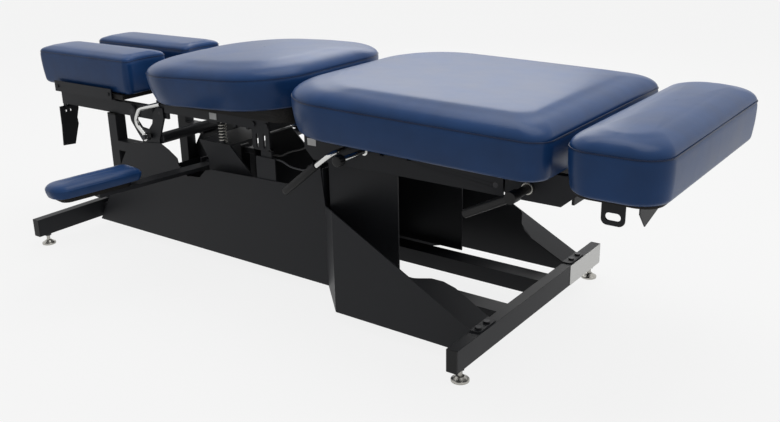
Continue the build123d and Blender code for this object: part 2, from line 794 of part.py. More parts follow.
# Chest frame: two rails, three cross members and the hinge tongues
rail_in = chest_rail_y - chest_rail_thick
tongue_out = yoke_in - run_gap
with BuildPart() as chest_frame:
    rail_end = chest_rail_x + chest_rail_length
    box(chest_rail_x, rail_end, -chest_rail_y, -rail_in, hanger_top, chest_rail_top)
    elevation([(chest_pivot_x - chest_tongue, chest_pivot_z - chest_tongue),
        (chest_rail_x, chest_pivot_z - chest_tongue), (chest_rail_x, chest_rail_top),
        (chest_pivot_x - chest_tongue, chest_rail_top)], -tongue_out,
        -tongue_out + chest_rail_thick)
    far_side()
    for member_x in (chest_rail_x, rail_end - chest_rail_thick):
        box(member_x, member_x + chest_rail_thick, -rail_in, rail_in, hanger_top, chest_rail_top)
    box(spring_x - pedestal_seat, spring_x + pedestal_seat, -rail_in, rail_in, spring_top + run_gap,
        chest_rail_top)
    for side in (-1, 1):
        round_z(spring_x, side * spring_y, spring_top - overrun, spring_bolt_top + overrun * 2,
            spring_hole_radius, Mode.SUBTRACT)
    round_y(chest_pivot_x, chest_pivot_z, -yoke_out - overrun, yoke_out + overrun,
        chest_pivot_radius + pin_gap, Mode.SUBTRACT)
chest_frame.part.label = "chest_frame"
export_step(chest_frame.part, "parts/chest_frame.step")


with BuildPart() as chest_board:
    board_x = chest_x + chest_board_inset
    board_end = chest_x + chest_length - chest_board_inset
    seat = [(x,
        seat_height(x, chest_pivot_x, chest_pivot_z, chest_low, chest_rise)) for x in (board_end,
        board_x)]
    elevation([(board_x, chest_rail_top), (board_end, chest_rail_top)] + seat, -chest_board_half,
        chest_board_half)
    fillet(chest_board.edges().filter_by(Axis.Z), radius=chest_board_inset)
chest_board.part.label = "chest_board"
export_step(chest_board.part, "parts/chest_board.step")

with BuildPart() as chest_level:
    cushion(chest_x, chest_x + chest_length, -chest_half, chest_half, chest_low, chest_seam,
        chest_crown, chest_head_corner, chest_foot_corner, chest_draw, chest_flat)
with BuildPart() as chest_cushion:
    add(chest_level.part.rotate(Axis((chest_pivot_x, 0, chest_pivot_z), (0, -1, 0)), chest_rise))
chest_cushion.part.label = "chest_cushion"
export_step(chest_cushion.part, "parts/chest_cushion.step")

with BuildPart() as chest_label:
    label_z = (hanger_top + chest_rail_top) / 2
    box(chest_label_x, chest_label_x + label_long, -chest_rail_y - label_thick, -chest_rail_y,
        label_z - label_high / 2, label_z + label_high / 2)
chest_label.part.label = "chest_label"
export_step(chest_label.part, "parts/chest_label.step")

# Spring pedestal inside the chassis, its deck, bolts and springs
pedestal_face = spread(pedestal_shares, pedestal_x, rail_top, pedestal_long,
    pedestal_top - cross_plate - rail_top)
with BuildPart() as spring_pedestal:
    elevation(pedestal_face, -pedestal_y, -pedestal_y + cross_plate)
    round_z(spring_x, -spring_y, pedestal_top, spring_bolt_top, spring_bolt_radius)
    round_z(spring_x, -spring_y, pedestal_top, spring_low - run_gap, spring_radius)
    far_side()
    box(pedestal_x, pedestal_x + pedestal_long * pedestal_shares[3][0], -pedestal_y, pedestal_y,
        pedestal_top - cross_plate, pedestal_top)
spring_pedestal.part.label = "spring_pedestal"
export_step(spring_pedestal.part, "parts/spring_pedestal.step")


# Two arcs that join two points of the coil with its slope at both
def coil_point(t):
    angle = 2 * pi * t
    rise = coil_low + coil_rise * t / spring_turns
    return Vector(spring_x + coil_radius * cos(angle), -spring_y + coil_radius * sin(angle), rise)


def coil_slope(t):
    angle = 2 * pi * t
    lead = coil_rise / spring_turns / (2 * pi)
    return Vector(-coil_radius * sin(angle), coil_radius * cos(angle), lead).normalized()


coil_radius = spring_radius - spring_wire
coil_low = spring_low + spring_wire
coil_rise = spring_top - spring_low - 2 * spring_wire
with BuildPart() as coil_near:
    with BuildLine() as coil_line:
        for quarter in range(arcs_per_turn * spring_turns):
            start = coil_point(quarter / arcs_per_turn)
            finish = coil_point((quarter + 1) / arcs_per_turn)
            slope_start = coil_slope(quarter / arcs_per_turn)
            slope_finish = coil_slope((quarter + 1) / arcs_per_turn)
            chord = finish - start
            lean = chord.dot(slope_start + slope_finish)
            spare = 2 - 2 * slope_start.dot(slope_finish)
            reach = (sqrt(lean * lean + spare * chord.dot(chord)) - lean) / spare
            middle_a = start + slope_start * reach
            middle_b = finish - slope_finish * reach
            middle = (middle_a + middle_b) / 2
            TangentArc(start, middle, tangent=slope_start)
            TangentArc(middle, finish, tangent=middle_b - middle_a)
    with BuildSketch(Plane(origin=coil_line.line @ 0, z_dir=coil_line.line % 0)):
        Circle(spring_wire)
    sweep()
coil_gap = coil_rise / spring_turns - 2 * spring_wire
print("spring least gap", round(coil_gap, 2))
with BuildPart() as drop_springs:
    add(coil_near.part)
    far_side()
drop_springs.part.label = "drop_springs"
export_step(drop_springs.part, "parts/drop_springs.step")

# Latch column between the chassis and the chest frame
with BuildPart() as latch_column:
    box(column_x, column_x + column_wide, -plate_half, -plate_half + cross_plate, column_low,
        column_top)
    box(catch_x, catch_x + catch_wide, -plate_half + cross_plate,
        -plate_half + cross_plate + catch_deep, catch_low, catch_top)
latch_column.part.label = "latch_column"
export_step(latch_column.part, "parts/latch_column.step")

with BuildPart() as latch_hanger:
    hanger_right = hanger_x + hanger_wide
    slant = catch_deep / 2
    elevation([(hanger_x + slant, hanger_low), (hanger_right - slant, hanger_low),
        (hanger_right, hanger_low + slant), (hanger_right, chest_rail_top),
        (hanger_x, chest_rail_top), (hanger_x, hanger_low + slant)], -hanger_y, -chest_rail_y)
    slot_mid = hanger_x + hanger_wide / 2
    slot_top = hanger_top - slot_high
    for slot_side in (-1, 1):
        with BuildSketch(Plane.XZ.offset(hanger_y)):
            with Locations((slot_mid + slot_side * slot_long, (hanger_low + slot_top) / 2)):
                SlotOverall(3 * slot_long, 2 * slot_high, rotation=90)
        extrude(amount=-hanger_thick, mode=Mode.SUBTRACT)
    bolt_z = chest_rail_top - (chest_rail_top - hanger_top) / 2
    for bolt_x in (hanger_x + bolt_head_radius, hanger_right - bolt_head_radius):
        round_y(bolt_x, bolt_z, -hanger_y - bolt_head_high, -hanger_y, bolt_head_radius)
    rod_z = hanger_top - cock_lug / 2
    round_x(-cable_y, rod_z, cock_rod_x, cock_rod_x + cock_rod_length, cock_rod_radius)
    for lug_x in (cock_rod_x, cock_rod_x + cock_rod_length - cock_lug):
        box(lug_x, lug_x + cock_lug, -rail_in, -cable_y + cock_lug / 2, rod_z - cock_lug / 2,
            rod_z + cock_lug / 2)
        box(lug_x, lug_x + cock_lug, -rail_in, -cable_y + cock_lug / 2, rod_z, chest_rail_top)
latch_hanger.part.label = "latch_hanger"
export_step(latch_hanger.part, "parts/latch_hanger.step")


# Fixed hollow beams that carry the pelvic section
with BuildPart() as pelvic_beams:
    box(beam_x, tie_x, -beam_y, -beam_y + beam_thick, beam_low, beam_low + beam_high)
    box(beam_x - overrun, tie_x + overrun, -beam_y + beam_wall, -beam_y + beam_thick - beam_wall,
        beam_low + beam_wall, beam_low + beam_high - beam_wall, Mode.SUBTRACT)
    round_y(pelvic_pivot_x, pelvic_pivot_z, -beam_y - overrun, -beam_y + beam_thick + overrun,
        pelvic_pivot_radius + pin_gap, Mode.SUBTRACT)
    far_side()
pelvic_beams.part.label = "pelvic_beams"
export_step(pelvic_beams.part, "parts/pelvic_beams.step")

# Rubber stops on the beams and the head posts
with BuildPart() as rest_pads:
    round_z(bumper_x, -beam_y + beam_thick / 2, beam_low + beam_high,
        beam_low + beam_high + bumper_high, beam_thick / 2)
    box(post_x, post_x + post_size, -post_out, -post_out + post_size, post_top, post_top + post_pad)
    far_side()
rest_pads.part.label = "rest_pads"
export_step(rest_pads.part, "parts/rest_pads.step")


# Pelvic frame: outer rails with slots, and the deck between them
pelvic_rail_in = pelvic_rail_y - pelvic_rail_thick
pelvic_rail_end = pelvic_rail_x + pelvic_rail_length
with BuildPart() as pelvic_frame:
    elevation([(pelvic_rail_x, pelvic_rail_top),
        (pelvic_rail_x, pelvic_rail_low + pelvic_rail_round),
        (pelvic_rail_x + pelvic_rail_round, pelvic_rail_low), (pelvic_rail_end, pelvic_rail_low),
        (pelvic_rail_end, pelvic_rail_top)], -pelvic_rail_y, -pelvic_rail_in)
    far_side()
    for slot_count in (0, 1):
        with BuildSketch(Plane.XZ.offset(pelvic_rail_y)):
            with Locations((slot_x + slot_count * slot_step, slot_z)):
                SlotOverall(slot_long, slot_high)
        extrude(amount=-pelvic_rail_thick, mode=Mode.SUBTRACT)
    box(pelvic_deck_x, pelvic_rail_end, -pelvic_rail_in, pelvic_rail_in,
        pelvic_rail_top - pelvic_deck, pelvic_rail_top)
    round_y(pelvic_pivot_x, pelvic_pivot_z, -pelvic_rail_y - overrun, pelvic_rail_y + overrun,
        pelvic_pivot_radius + pin_gap, Mode.SUBTRACT)
    round_y(cock_x, cock_z, -pelvic_rail_y - overrun, -pelvic_rail_in + overrun,
        cock_radius + pin_gap, Mode.SUBTRACT)
    round_y(knob_x, cock_z, -pelvic_rail_y - overrun, -pelvic_rail_in + overrun,
        cock_radius + pin_gap, Mode.SUBTRACT)
pelvic_frame.part.label = "pelvic_frame"
export_step(pelvic_frame.part, "parts/pelvic_frame.step")

with BuildPart() as pelvic_board:
    board_x = pelvic_x + pelvic_board_inset
    board_end = pelvic_x + pelvic_length - pelvic_board_inset
    seat = [(x,
        seat_height(x, pelvic_pivot_x, pelvic_pivot_z, pelvic_low, -pelvic_rise)) for x in (board_end,
        board_x)]
    elevation([(board_x, pelvic_rail_top), (board_end, pelvic_rail_top)] + seat, -pelvic_board_half,
        pelvic_board_half)
    fillet(pelvic_board.edges().filter_by(Axis.Z), radius=pelvic_foot_corner)
pelvic_board.part.label = "pelvic_board"
export_step(pelvic_board.part, "parts/pelvic_board.step")

with BuildPart() as pelvic_level:
    cushion(pelvic_x, pelvic_x + pelvic_length, -pelvic_half, pelvic_half, pelvic_low, pelvic_seam,
        pelvic_crown, pelvic_head_corner, pelvic_foot_corner, side_draw, pelvic_flat)
with BuildPart() as pelvic_cushion:
    add(pelvic_level.part.rotate(Axis((pelvic_pivot_x, 0, pelvic_pivot_z), (0, 1, 0)), pelvic_rise))
pelvic_cushion.part.label = "pelvic_cushion"
export_step(pelvic_cushion.part, "parts/pelvic_cushion.step")

with BuildPart() as pelvic_label:
    label_z = pelvic_rail_low + pelvic_rail_round + label_high
    box(pelvic_label_x, pelvic_label_x + label_long, -pelvic_rail_y - label_thick, -pelvic_rail_y,
        label_z - label_high / 2, label_z + label_high / 2)
pelvic_label.part.label = "pelvic_label"
export_step(pelvic_label.part, "parts/pelvic_label.step")

# Cocking lever: bent chrome bar with a sleeve grip
cock_run = sqrt((cock_x - cock_end_x) ** 2 + (cock_z - cock_end_z) ** 2)
grip_dir = ((cock_end_x - cock_x) / cock_run, (cock_end_z - cock_z) / cock_run)
with BuildPart() as cocking_lever:
    with BuildLine() as cock_line:
        FilletPolyline((cock_x, -cock_in, cock_z), (cock_x, -cock_out, cock_z),
            (cock_end_x, -cock_out, cock_end_z), radius=cock_bend)
    with BuildSketch(Plane(origin=cock_line.line @ 0, z_dir=cock_line.line % 0)):
        Circle(cock_radius)
    sweep()
cocking_lever.part.label = "cocking_lever"
export_step(cocking_lever.part, "parts/cocking_lever.step")

grip_start = (cock_end_x - grip_dir[0] * grip_length, -cock_out, cock_end_z - grip_dir[1] * grip_length)
with BuildPart() as cocking_grip:
    with BuildSketch(Plane(origin=grip_start, z_dir=(grip_dir[0], 0, grip_dir[1]))):
        Circle(grip_radius)
        Circle(cock_radius + pin_gap, mode=Mode.SUBTRACT)
    extrude(amount=grip_length)
    with BuildSketch(Plane(origin=(cock_end_x, -cock_out, cock_end_z),
            z_dir=(grip_dir[0], 0, grip_dir[1]))):
        Circle(grip_radius)
    extrude(amount=cap_plate)
cocking_grip.part.label = "cocking_grip"
export_step(cocking_grip.part, "parts/cocking_grip.step")

# Tension knob with its chrome shaft and collar
with BuildPart() as knob_shaft:
    round_y(knob_x, cock_z, -knob_out + knob_thick, -cock_in, cock_radius)
    round_y(knob_x, cock_z, -pelvic_rail_y - run_gap - collar_long, -pelvic_rail_y - run_gap,
        collar_radius)
knob_shaft.part.label = "knob_shaft"
export_step(knob_shaft.part, "parts/knob_shaft.step")

with BuildPart() as tension_knob:
    round_y(knob_x, cock_z, -knob_out, -knob_out + knob_thick, knob_radius)
    chamfer(tension_knob.edges().group_by(Axis.Y)[0], length=knob_dish)
tension_knob.part.label = "tension_knob"
export_step(tension_knob.part, "parts/tension_knob.step")

# Foot bracket: two shaped sides, a tie and two guide plates for the runners
bracket_y = pelvic_rail_y
bracket_in = pelvic_rail_in
runner_out = runner_y + runner_size / 2
runner_in = runner_y - runner_size / 2
with BuildPart() as foot_bracket:
    elevation(spread(bracket_shares, bracket_x, pelvic_rail_low, bracket_length,
        bracket_top - pelvic_rail_low), -bracket_y, -bracket_in)
    round_y(foot_lever_x, foot_lever_z, -bracket_y - overrun, -bracket_in + overrun,
        foot_shaft_radius + pin_gap, Mode.SUBTRACT)
    far_side()
    box(tie_x, tie_x + tie_thick, -bracket_in, bracket_in, beam_low, guide_top)
    for guide_count in (0, 1):
        plate_x = guide_x + guide_count * guide_step
        box(plate_x, plate_x + tie_thick, -bracket_in, bracket_in, beam_low + cross_plate, guide_top)
        for side in (-1, 1):
            window_y = sorted((side * (runner_in - run_gap), side * (runner_out + run_gap)))
            box(plate_x - overrun, plate_x + tie_thick + overrun, window_y[0], window_y[1],
                runner_low - run_gap, runner_low + runner_size + run_gap, Mode.SUBTRACT)
foot_bracket.part.label = "foot_bracket"
export_step(foot_bracket.part, "parts/foot_bracket.step")

# Foot section: runners, blocks, board, cushion, holder tabs and cutter plate
with BuildPart() as foot_runners:
    box(runner_x, runner_end, -runner_out, -runner_in, runner_low, runner_low + runner_size)
    wall = runner_wall
    box(runner_x - overrun, runner_end + overrun, -runner_out + wall, -runner_in - wall,
        runner_low + wall, runner_low + runner_size - wall, Mode.SUBTRACT)
    for block_count in (0, 1):
        left = block_x + block_count * block_step
        box(left, left + block_length, -runner_out, -runner_in, runner_low + runner_size,
            foot_board_low)
    far_side()
foot_runners.part.label = "foot_runners"
export_step(foot_runners.part, "parts/foot_runners.step")


with BuildPart() as foot_board:
    board_x = foot_cushion_x + foot_board_inset
    board_end = foot_cushion_x + foot_cushion_length - foot_board_inset
    box(board_x, board_end, -foot_half + foot_board_inset, foot_half - foot_board_inset,
        foot_board_low, foot_low)
    fillet(foot_board.edges().filter_by(Axis.Z), radius=foot_corner - foot_board_inset)
foot_board.part.label = "foot_board"
export_step(foot_board.part, "parts/foot_board.step")

with BuildPart() as foot_cushion:
    cushion(foot_cushion_x, foot_cushion_x + foot_cushion_length, -foot_half, foot_half, foot_low,
        foot_seam, foot_crown, foot_corner, foot_corner, side_draw, foot_flat)
foot_cushion.part.label = "foot_cushion"
export_step(foot_cushion.part, "parts/foot_cushion.step")

with BuildPart() as roll_holders:
    box(holder_x, holder_x + holder_wide, -holder_y, -holder_y + holder_thick, holder_low,
        foot_board_low)
    fillet(roll_holders.edges().filter_by(Axis.Y).group_by(Axis.Z)[0], radius=holder_round)
    with BuildSketch(Plane.XZ.offset(holder_y)):
        with Locations((holder_x + holder_wide / 2, holder_slot_z)):
            SlotOverall(holder_slot_long, holder_slot_high)
    extrude(amount=-holder_thick, mode=Mode.SUBTRACT)
    far_side()
    end_view(spread(cutter_shares, cutter_y, cutter_low, cutter_wide, foot_board_low - cutter_low),
        cutter_x, cutter_x + cutter_thick)
roll_holders.part.label = "roll_holders"
export_step(roll_holders.part, "parts/roll_holders.step")


# Foot lever: hub, shaft through the bracket and a plain grip
foot_run = sqrt((foot_lever_x - foot_grip_x) ** 2 + (foot_lever_z - foot_grip_z) ** 2)
foot_dir = ((foot_grip_x - foot_lever_x) / foot_run, 0, (foot_grip_z - foot_lever_z) / foot_run)
hub_mid = foot_hub_out - foot_hub_long / 2
with BuildPart() as foot_lever:
    round_y(foot_lever_x, foot_lever_z, -foot_hub_out, -foot_hub_out + foot_hub_long, foot_hub_radius)
    round_y(foot_lever_x, foot_lever_z, -foot_hub_out + foot_hub_long, -foot_shaft_in,
        foot_shaft_radius)
    with BuildSketch(Plane(origin=(foot_lever_x, -hub_mid, foot_lever_z), z_dir=foot_dir)):
        Circle(foot_grip_radius)
    extrude(amount=foot_run)
    round_y(foot_lever_x, foot_lever_z, -foot_hub_out - overrun, -foot_hub_out + screw_depth,
        screw_radius + pin_gap, Mode.SUBTRACT)
    round_y(foot_lever_x, foot_lever_z, -foot_hub_out, -foot_hub_out + screw_depth, screw_radius)
foot_lever.part.label = "foot_lever"
export_step(foot_lever.part, "parts/foot_lever.step")


with BuildPart() as foot_lever_collar:
    round_y(foot_lever_x, foot_lever_z, -bracket_y - collar_long, -bracket_y, foot_hub_radius)
    round_y(foot_lever_x, foot_lever_z, -bracket_y - collar_long - overrun, -bracket_y + overrun,
        foot_shaft_radius + pin_gap, Mode.SUBTRACT)
foot_lever_collar.part.label = "foot_lever_collar"
export_step(foot_lever_collar.part, "parts/foot_lever_collar.step")

# Armrest pivot cheeks on the near and far rails
barrel_half = rest_barrel_long / 2
cheek_out = rest_pivot_y + cheek_wide / 2
cheek_in = rest_pivot_y - cheek_wide / 2
with BuildPart() as armrest_cheeks:
    for left in (rest_pivot_x - barrel_half - run_gap - cheek_thick,
            rest_pivot_x + barrel_half + run_gap):
        box(left, left + cheek_thick, -cheek_out, -cheek_in, rail_top, rest_pivot_z + cheek_wide / 2)
        round_x(-rest_pivot_y, rest_pivot_z, left - overrun, left + cheek_thick + overrun,
            rest_pin_radius + pin_gap, Mode.SUBTRACT)
    far_side()
armrest_cheeks.part.label = "armrest_cheeks"
export_step(armrest_cheeks.part, "parts/armrest_cheeks.step")

# Pins of the armrest, chest, pelvic and head pivots
with BuildPart() as pivot_pins:
    reach = barrel_half + run_gap + cheek_thick
    round_x(-rest_pivot_y, rest_pivot_z, rest_pivot_x - reach, rest_pivot_x + reach, rest_pin_radius)
    round_y(chest_pivot_x, chest_pivot_z, -yoke_out, -tongue_out + chest_rail_thick, chest_pivot_radius)
    round_y(pelvic_pivot_x, pelvic_pivot_z, -pelvic_rail_y, -beam_y + beam_thick, pelvic_pivot_radius)
    far_side()
    round_y(head_pivot_x, head_pivot_z, -yoke_out, yoke_out, head_pivot_radius)
pivot_pins.part.label = "pivot_pins"
export_step(pivot_pins.part, "parts/pivot_pins.step")

# Armrest bar, board, pad and swivel bolt, made on the near side
bar_run = sqrt((rest_end_x - rest_pivot_x) ** 2 + (rest_end_y - rest_pivot_y) ** 2)
bar_turn = degrees(atan2(rest_pivot_y - rest_end_y, rest_end_x - rest_pivot_x))
bar_low_z = rest_pivot_z - rest_bar_thick / 2
bar_high_z = rest_pivot_z + rest_bar_thick / 2
swivel_x = rest_pivot_x + swivel_share * (rest_end_x - rest_pivot_x)
swivel_y = -rest_pivot_y - swivel_share * (rest_end_y - rest_pivot_y)
with BuildPart() as armrest_bar_near:
    round_x(-rest_pivot_y, rest_pivot_z, rest_pivot_x - barrel_half, rest_pivot_x + barrel_half,
        rest_barrel_radius)
    with BuildSketch(Plane(origin=(rest_pivot_x, -rest_pivot_y, bar_low_z),
            x_dir=(cos(radians(bar_turn)), sin(radians(bar_turn)), 0), z_dir=(0, 0, 1))):
        with Locations((bar_run / 2, 0)):
            Rectangle(bar_run, rest_bar_wide)
    extrude(amount=rest_bar_thick)
    round_x(-rest_pivot_y, rest_pivot_z, rest_pivot_x - barrel_half - overrun,
        rest_pivot_x + barrel_half + overrun, rest_pin_radius + pin_gap, Mode.SUBTRACT)
    round_z(swivel_x, swivel_y, bar_low_z - overrun, bar_high_z + overrun,
        rest_swivel_radius + pin_gap, Mode.SUBTRACT)
armrest_bar_near.part.label = "armrest_bar_near"
export_step(armrest_bar_near.part, "parts/armrest_bar_near.step")

rest_turn = radians(rest_pad_turn)
rest_axis = (-sin(rest_turn), -cos(rest_turn), 0)
board_plane = Plane(origin=(rest_pad_x, -rest_pad_y, bar_high_z), x_dir=rest_axis, z_dir=(0, 0, 1))
rest_pad_low = bar_high_z + rest_board_thick
bolt_x = rest_pad_x + rest_axis[0] * rest_bolt_step
bolt_y = -rest_pad_y + rest_axis[1] * rest_bolt_step
with BuildPart() as armrest_board_near:
    with BuildSketch(board_plane) as board_face:
        Rectangle(rest_board_long, rest_board_wide)
        fillet(board_face.vertices(), radius=rest_pad_corner / 2)
    extrude(amount=rest_board_thick)
    round_z(swivel_x, swivel_y, bar_high_z - overrun, bar_high_z + rest_board_thick + overrun,
        rest_swivel_radius + pin_gap, Mode.SUBTRACT)
    round_z(swivel_x, swivel_y, bar_low_z, rest_pad_low, rest_swivel_radius)
    round_z(swivel_x, swivel_y, bar_low_z - bolt_head_high, bar_low_z, bolt_head_radius)
    round_z(bolt_x, bolt_y, bar_high_z - bolt_head_high, bar_high_z, bolt_head_radius)
armrest_board_near.part.label = "armrest_board_near"
export_step(armrest_board_near.part, "parts/armrest_board_near.step")

with BuildPart() as armrest_pad_near:
    for shares, low, high, base in ((side_shares, 0, rest_seam_share, 0),
            (crown_shares, rest_seam_share, 1, 1)):
        for rise, pull in shares:
            level_z = rest_pad_low + rest_pad_high * (low + rise * (high - low))
            drawn = pull * (rest_flat if base else side_draw) + base * seam_step
            with BuildSketch(Plane(origin=(rest_pad_x, -rest_pad_y, level_z), x_dir=rest_axis,
                    z_dir=(0, 0, 1))) as ring:
                Rectangle(rest_pad_long - 2 * drawn, rest_pad_wide - 2 * drawn)
                limit = corner_share * (rest_pad_wide - 2 * drawn)
                ends = ring.vertices().sort_by(Axis.X)
                fillet(ends[:2], radius=min(rest_inner_corner, limit))
                fillet(ring.vertices().sort_by(Axis.X)[-2:], radius=min(rest_pad_corner, limit))
        loft()
armrest_pad_near.part.label = "armrest_pad_near"
export_step(armrest_pad_near.part, "parts/armrest_pad_near.step")

pairs = [("armrest_bar_far", armrest_bar_near), ("armrest_board_far", armrest_board_near),
    ("armrest_pad_far", armrest_pad_near)]
for far_name, near_piece in pairs:
    with BuildPart() as far_piece:
        mirror(near_piece.part, about=Plane.XZ)
    far_piece.part.label = far_name
    export_step(far_piece.part, "parts/" + far_name + ".step")


# Thin cables clipped along the near side, in straight runs joined by arcs
def fillet_radii(route):
    radii = []
    for before, corner, after in zip(route, route[1:], route[2:]):
        first = Vector(*corner) - Vector(*before)
        second = Vector(*after) - Vector(*corner)
        half_turn = radians(first.get_angle(second)) / 2
        radii.append(bend_share * min(first.length, second.length) / tan(half_turn))
    return radii


cables = [("black_cable", black_cable, cable_y), ("grey_cable", grey_cable, cable_y)]
for cable_name, cable_points, cable_side in cables:
    route = [(x, -cable_side, z) for x, z in cable_points]
    radii = fillet_radii(route)
    with BuildPart() as cable:
        with BuildLine() as cable_line:
            FilletPolyline(*route, radius=radii)
        with BuildSketch(Plane(origin=cable_line.line @ 0, z_dir=cable_line.line % 0)):
            Circle(cable_radius)
        sweep()
    cable.part.label = cable_name
    export_step(cable.part, "parts/" + cable_name + ".step")
    cable_length = sum(edge.length for edge in cable_line.edges())
    volume_share = cable.part.volume / (pi * cable_radius ** 2 * cable_length)
    print(cable_name, "length", round(cable_length, 1), "radii", [round(radius, 1) for radius in radii])
    print(cable_name, "volume against section times length", round(volume_share, 4))
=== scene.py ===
"""Dresses the adjusting table: vinyl cushions, grips, feet, finishes and the studio."""

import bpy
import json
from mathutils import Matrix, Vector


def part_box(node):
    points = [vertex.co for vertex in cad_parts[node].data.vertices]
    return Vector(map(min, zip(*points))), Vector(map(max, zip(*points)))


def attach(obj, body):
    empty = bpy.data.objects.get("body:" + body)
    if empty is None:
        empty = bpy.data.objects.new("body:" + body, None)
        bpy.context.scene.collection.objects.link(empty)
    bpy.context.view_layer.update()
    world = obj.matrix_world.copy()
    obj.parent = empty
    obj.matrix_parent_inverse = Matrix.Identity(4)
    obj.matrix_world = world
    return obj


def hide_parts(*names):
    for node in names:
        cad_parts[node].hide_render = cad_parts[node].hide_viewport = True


bl_info = {
    "name": "Adjusting Table Dressing",
    "version": (1, 0, 0),
    "blender": (4, 5, 0),
    "location": "3D View > Sidebar > Table",
    "description": "Builds the upholstery, grips, feet, finishes and studio of an adjusting table",
    "category": "Object",
}

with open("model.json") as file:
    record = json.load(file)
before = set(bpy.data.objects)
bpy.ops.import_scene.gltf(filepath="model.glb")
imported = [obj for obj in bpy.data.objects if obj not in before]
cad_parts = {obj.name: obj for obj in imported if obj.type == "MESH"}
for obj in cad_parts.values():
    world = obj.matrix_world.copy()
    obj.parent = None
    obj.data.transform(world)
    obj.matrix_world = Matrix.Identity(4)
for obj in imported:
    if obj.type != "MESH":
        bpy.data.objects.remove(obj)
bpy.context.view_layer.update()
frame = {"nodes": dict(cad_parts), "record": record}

import json
from math import cos, pi, radians, sin

import bmesh
import bpy
import numpy as np
from bpy.props import FloatProperty, FloatVectorProperty, IntProperty, PointerProperty
from mathutils import Matrix, Vector

MM = 0.001

# Shares of a cushion's section: its lower turned edge, the height of its rolled shoulder in the
# crown, and the control points of the shoulder's curve.
TURN_SHARE = 0.14
SHOULDER_SHARE = 0.94
REACH_POINTS = (0.05, 0.3)
LIFT_POINT = 0.5

# Cloth simulation: last frame, and how often the swell is averaged along and between the rings.
LAST_FRAME = 20
RING_PASSES = 300
ROW_PASSES = 6


def linear(code):
    """An sRGB hex colour as linear red, green and blue."""
    parts = np.array([int(code[i:i + 2], 16) / 255 for i in (1, 3, 5)])
    low = parts / 12.92
    high = ((parts + 0.055) / 1.055) ** 2.4
    return tuple(float(c) for c in np.where(parts <= 0.04045, low, high))


# ---------------------------------------------------------------- settings


class TableUpholsterySettings(bpy.types.PropertyGroup):
    """Sizes of the padded pieces and of their sewn vinyl covers."""

    pelvic_size: FloatVectorProperty(
        name="Pelvic cushion", description="Length, width and height", subtype="XYZ_LENGTH",
        unit="LENGTH", default=(0.676, 0.604, 0.116)
    )
    chest_size: FloatVectorProperty(
        name="Chest cushion", description="Length, width and height", subtype="XYZ_LENGTH",
        unit="LENGTH", default=(0.524, 0.524, 0.114)
    )
    foot_size: FloatVectorProperty(
        name="Foot cushion", description="Length, width and height", subtype="XYZ_LENGTH",
        unit="LENGTH", default=(0.1905, 0.592, 0.109)
    )
    head_size: FloatVectorProperty(
        name="Head cushion", description="Length, width and height of one of the two",
        subtype="XYZ_LENGTH", unit="LENGTH", default=(0.4155, 0.148, 0.112)
    )
    armrest_size: FloatVectorProperty(
        name="Armrest pad", description="Length, width and height", subtype="XYZ_LENGTH",
        unit="LENGTH", default=(0.24, 0.086, 0.038)
    )
    pelvic_rise: FloatProperty(
        name="Pelvic rise", description="How far the pelvic cushion stands raised at its head end",
        default=radians(1.2), unit="ROTATION"
    )
    chest_rise: FloatProperty(
        name="Chest rise", description="How far the chest cushion stands raised at its foot end",
        default=radians(2.9), unit="ROTATION"
    )
    armrest_turn: FloatProperty(
        name="Armrest turn", description="Turn of the armrest pads away from square",
        default=radians(7.3), unit="ROTATION"
    )
    welt_radius: FloatProperty(
        name="Welt radius", description="Radius of the piped welt in the seams", default=1.3 * MM,
        unit="LENGTH"
    )
    groove: FloatProperty(
        name="Seam groove", description="How deep the cover draws in at a seam", default=2.2 * MM,
        unit="LENGTH"
    )
    groove_width: FloatProperty(
        name="Groove width", description="Width of the drawn-in band at a seam", default=3.4 * MM,
        unit="LENGTH"
    )
    pressure: FloatProperty(
        name="Fill pressure", description="Pressure of the foam against the cover", default=4.0
    )
    swell: FloatProperty(
        name="Swell", description="Most that a cover may swell from its cut shape",
        default=6.0 * MM, unit="LENGTH"
    )
    ring_points: IntProperty(name="Points in a ring", description="Points around each cushion", default=240)


class TableFinishSettings(bpy.types.PropertyGroup):
    """Colours of the finishes."""

    vinyl: FloatVectorProperty(
        name="Vinyl", description="Navy vinyl cover", subtype="COLOR", default=linear("#22497E")
    )
    vinyl_deep: FloatVectorProperty(
        name="Vinyl in the grain", description="Navy vinyl where the grain is deep",
        subtype="COLOR", default=linear("#1D4070")
    )
    powder: FloatVectorProperty(
        name="Powder coat", description="Fine black powder coat", subtype="COLOR",
        default=linear("#232427")
    )
    moulded: FloatVectorProperty(
        name="Moulded black", description="Black moulded grips and caps", subtype="COLOR",
        default=linear("#1A1A1B")
    )
    chrome: FloatVectorProperty(
        name="Chrome", description="Bright chrome plate", subtype="COLOR", default=linear("#D6D6D4")
    )
    zinc: FloatVectorProperty(
        name="Zinc", description="Zinc plated steel", subtype="COLOR", default=linear("#B4B2AC")
    )
    floor: FloatVectorProperty(
        name="Floor", description="Pale studio floor", subtype="COLOR", default=linear("#C9C9C8")
    )


